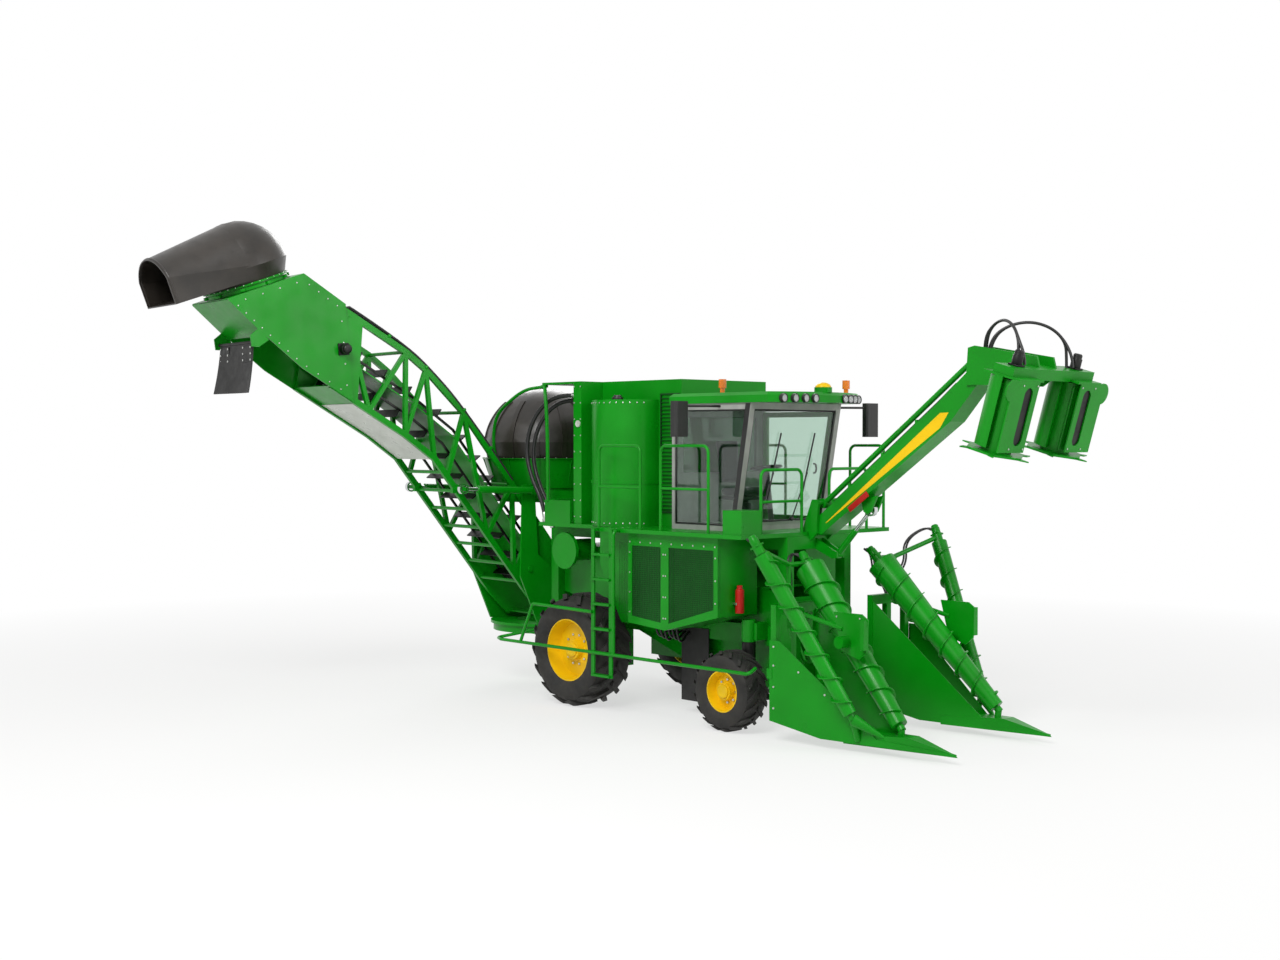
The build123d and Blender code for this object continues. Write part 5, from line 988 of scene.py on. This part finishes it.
# %% Canister
CANISTER_X, CANISTER_Y, CANISTER_RADIUS = 2.765, -0.98, 0.055
canister = round_bar((CANISTER_X, CANISTER_Y, 1.42), (CANISTER_X, CANISTER_Y, 1.7), CANISTER_RADIUS, 24)
step_out(canister, (0, 0, 1), 0.02, 0.04, 0.02)
keep(rounded(canister, 5), "fire_canister", "chassis", RED)
strap = rounded(box((2.695, -1.04, 1.52), (2.77, -0.92, 1.55)), 3)
keep(strap, "canister_strap", "chassis", ZINC)
print("canister at", CANISTER_X, CANISTER_Y)

# %% [markdown]
# ## Head housing details
# A split band and a bolted flange hold the upper hood's ring. Both are short open cylinders with thickness,
# turned to the ring's own axis. Bolts run along the housing's edges.

# %% Clamp band, flange and housing bolts
RING_PLACE = Vector((-2.50745, -4.65721, 5.4775))
RING_AXIS = Vector((-0.029809, -0.340719, 0.939693))
# Housing's side along the elevator and up, and its middle, towards which the bolts are set in
HOUSING = [(3.5, 4.1), (4.19, 4.5), (4.7, 4.9), (5.15, 5.27), (4.16, 5.62), (3.6, 5.27)]
HOUSING_S, HOUSING_Z = 4.3, 4.85
HOUSING_INSET, HOUSING_FACE = 0.05, 0.5605
ring_stand = Matrix.Translation(RING_PLACE) @ facing(RING_AXIS)


def hoop(radius, low, high, wall):
    """A hoop round the local Z axis, as thick as the wall, inwards from the radius."""
    clear()
    bpy.ops.mesh.primitive_cylinder_add(vertices=96, radius=radius, depth=high - low, end_fill_type="NOTHING",
                                        location=(0, 0, (low + high) / 2))
    return rounded(applied(bake(), "SOLIDIFY", thickness=wall, offset=-1.0), 2, 1)


flange = hoop(0.562, 0.078, 0.09, 0.033)
band = hoop(0.54, 0.02, 0.06, 0.011)
lug = rounded(box((0.535, -0.03, 0.02), (0.575, 0.03, 0.06)), 4)
lugs = copies(lug, [Matrix.Rotation(radians(36 * i), 4, "Z") for i in range(10)])
clamp = joined([flange, band, lugs])
clamp.data.transform(ring_stand)
keep(clamp, "upper_hood_clamp", "elevator", GREEN)
rim = [ring_stand @ point for point in bolt_circle(0.548, 0.09, 32)]
bolts("upper_hood_bolts", "elevator", rim, RING_AXIS, 8, 5)
points = []
for (s0, z0), (s1, z1) in zip(HOUSING, HOUSING[1:] + HOUSING[:1]):
    for share in (0.15, 0.4, 0.65, 0.9):
        s, z = s0 + share * (s1 - s0), z0 + share * (z1 - z0)
        points.append((s + HOUSING_INSET * (HOUSING_S - s), z + HOUSING_INSET * (HOUSING_Z - z)))
for name, side in (("front", 1), ("back", -1)):
    places = [on_elevator(s, side * HOUSING_FACE, z) for s, z in points]
    bolts("housing_bolts_" + name, "elevator", places, ELEVATOR_LEFT * side, 10, 7)
print(len(points), "bolts on each side of the head")

# %% [markdown]
# ## Hood mouths
# A moulded hood has a rolled bead round its mouth that stiffens the edge. The bead is a tube along the mouth:
# up one side, over the arch and down the other. It turns with its hood. The way that the upper spout points
# is read from its solid.

# %% Hood mouths
def mouth_bead(name, body, stand, reach, half, low, high):
    """A bead round an arched mouth whose spout runs along the stand's X axis."""
    side = high - 0.6 * half
    radius = (half ** 2 + (high - side) ** 2) / (2 * (high - side))
    swing = atan2(half, radius - (high - side))
    turns = [swing * (i / 8 - 1) for i in range(17)]
    line = [(-half, low), (-half, low + 0.05), (-half, side - 0.05)]
    line += [(radius * sin(turn), high - radius + radius * cos(turn)) for turn in turns]
    line += [(half, side - 0.05), (half, low + 0.05), (half, low)]
    points = [stand @ Vector((reach - 0.03, y, z)) for y, z in line]
    keep(tube(points, 0.015), name, body, HOOD_PLASTIC)


vertices = [vertex.co for vertex in frame["nodes"]["secondary_hood"].data.vertices]
flat = [place - RING_PLACE - RING_AXIS * (place - RING_PLACE).dot(RING_AXIS) for place in vertices]
reach = max(place.length for place in flat)
ahead = sum((place for place in flat if place.length > reach - 0.004), Vector()).normalized()
turn = Matrix((ahead, RING_AXIS.cross(ahead), RING_AXIS)).transposed().to_4x4()
stand = Matrix.Translation(RING_PLACE + RING_AXIS * 0.1) @ turn
mouth_bead("upper_hood_bead", "upper_hood", stand, 1.18, 0.45, 0.03, 0.64)
stand = Matrix.Translation(AXIS + Vector((0, 0, 2.86))) @ Matrix.Rotation(radians(120), 4, "Z")
mouth_bead("hood_bead", "hood", stand, 1.22, 0.56, 0.62, 1.18)
print("beads on both hoods, upper spout heads", tuple(round(c, 3) for c in ahead))

# %% [markdown]
# ## Topper guards
# Behind each slot of the topper's deflectors a dark plate keeps leaf off the drum.

# %% Topper guards
GUARD_OUT, GUARD_BOLT_OUT = 0.2188, 0.0202
GUARD_PLATE = [(-0.09, 0.12), (0.09, 0.12), (0.09, 0.79), (-0.09, 0.79)]
GUARD_BOLTS = [(-0.13, 0.1), (0.13, 0.1), (-0.13, 0.8), (0.13, 0.8)]
for name, side in SIDES:
    base = Vector((DRUM_X, side * DRUM_Y, DRUM_Z)) + HEAD_AHEAD * GUARD_OUT
    corners = [base + HEAD_UP * up + Vector((0, y, 0)) for y, up in GUARD_PLATE]
    guard = rounded(plate(corners, HEAD_AHEAD * 0.004), 1, 1)
    keep(guard, "topper_guard_" + name, "boom_head", STEEL)
    points = [base + HEAD_AHEAD * GUARD_BOLT_OUT + HEAD_UP * up + Vector((0, y, 0)) for y, up in GUARD_BOLTS]
    bolts("topper_bolts_" + name, "boom_head", points, HEAD_AHEAD, 11, 7)
print("topper guards")

# %% [markdown]
# ## Camera, floor and light
# The camera stands where the photo was taken from, to the front right and well above the ground, with a
# moderate lens. The floor is a pale matt paint. What is seen of it directly, in a reflection or through glass
# is mixed with plain white, wholly so far from the machine. The shadow stays, and the ground runs into the
# sky.

# %% Camera
CAMERA_PLACE = (16.41, -15.46, 3.53)
CAMERA_TURN = (radians(90 - 1.4), 0, radians(46.8))
LENS_MM = 45.93
camera_data = bpy.data.cameras.new("photo_camera")
camera_data.lens = LENS_MM
camera_data.sensor_width = 36
camera = bpy.data.objects.new("photo_camera", camera_data)
camera.location = CAMERA_PLACE
camera.rotation_euler = CAMERA_TURN
bpy.context.scene.collection.objects.link(camera)
bpy.context.scene.camera = camera
bpy.context.scene.view_settings.view_transform = "Standard"
print("camera at", CAMERA_PLACE)

# %% Floor
FLOOR_SIZE = 160.0
NEAR_WHITE, FADE_FROM, FADE_TO = 0.62, 6.0, 17.0


def seen_rays(tree):
    """One where the eye, a reflection or a pane of glass looks, and nought for light that bounces."""
    ray = add_node(tree, "LightPath")
    seen = ray.outputs["Is Camera Ray"]
    for kind in ("Is Glossy Ray", "Is Transmission Ray"):
        seen = add_node(tree, "Math", {0: seen, 1: ray.outputs[kind]}, {"operation": "MAXIMUM"})
    return seen


def white_to_eye(name):
    """A matt white that takes a soft shadow near the machine and runs into plain white far from it."""
    material, place = start(name)
    matt = add_node(material, "BsdfDiffuse", Color=srgb("#F4F4F2"))
    glow = add_node(material, "Emission", Color=(1, 1, 1, 1), Strength=1.0)
    away = add_node(material, "VectorMath", {0: place}, {"operation": "LENGTH"}).outputs["Value"]
    fade = add_node(material, "MapRange", {"Value": away}, From_Min=FADE_FROM, From_Max=FADE_TO,
                    To_Min=NEAR_WHITE, To_Max=1.0)
    share = add_node(material, "Math", {0: fade, 1: seen_rays(material)}, {"operation": "MULTIPLY"})
    return wired(material, add_node(material, "MixShader", {0: share, 1: matt, 2: glow}))


clear()
bpy.ops.mesh.primitive_plane_add(size=FLOOR_SIZE, location=(0, 0, -0.002))
floor = bpy.context.object
floor.name = "studio_floor"
floor.data.materials.append(white_to_eye("pale_floor_paint"))
print("floor", FLOOR_SIZE, "m, plain white beyond", FADE_TO, "m")

# %% Sky and lamps
SKY_LIGHT = 0.36
# Lamp rows: name, place, point it looks at, side, power
LAMPS = [("key", (7, -14, 14), (1, -1, 2), 8.0, 2300), ("fill", (18, 4, 9), (2, 0, 2), 9.0, 900),
         ("back", (-12, 10, 12), (0, 0, 2), 8.0, 900)]
world = bpy.data.worlds.new("studio")
bpy.context.scene.world = world
world.use_nodes = True
world.node_tree.nodes.clear()
level = add_node(world, "MapRange", {"Value": seen_rays(world)}, To_Min=SKY_LIGHT, To_Max=1.0)
sky = add_node(world, "Background", {"Strength": level}, Color=(1, 1, 1, 1))
add_node(world, "OutputWorld", {"Surface": sky})

for name, place, target, side, power in LAMPS:
    data = bpy.data.lights.new(name + "_softbox", "AREA")
    data.size = side
    data.energy = power
    lamp = bpy.data.objects.new(name + "_softbox", data)
    lamp.location = place
    lamp.rotation_euler = (Vector(target) - Vector(place)).to_track_quat("-Z", "Y").to_euler()
    bpy.context.scene.collection.objects.link(lamp)
print("sky and", len(LAMPS), "softboxes")
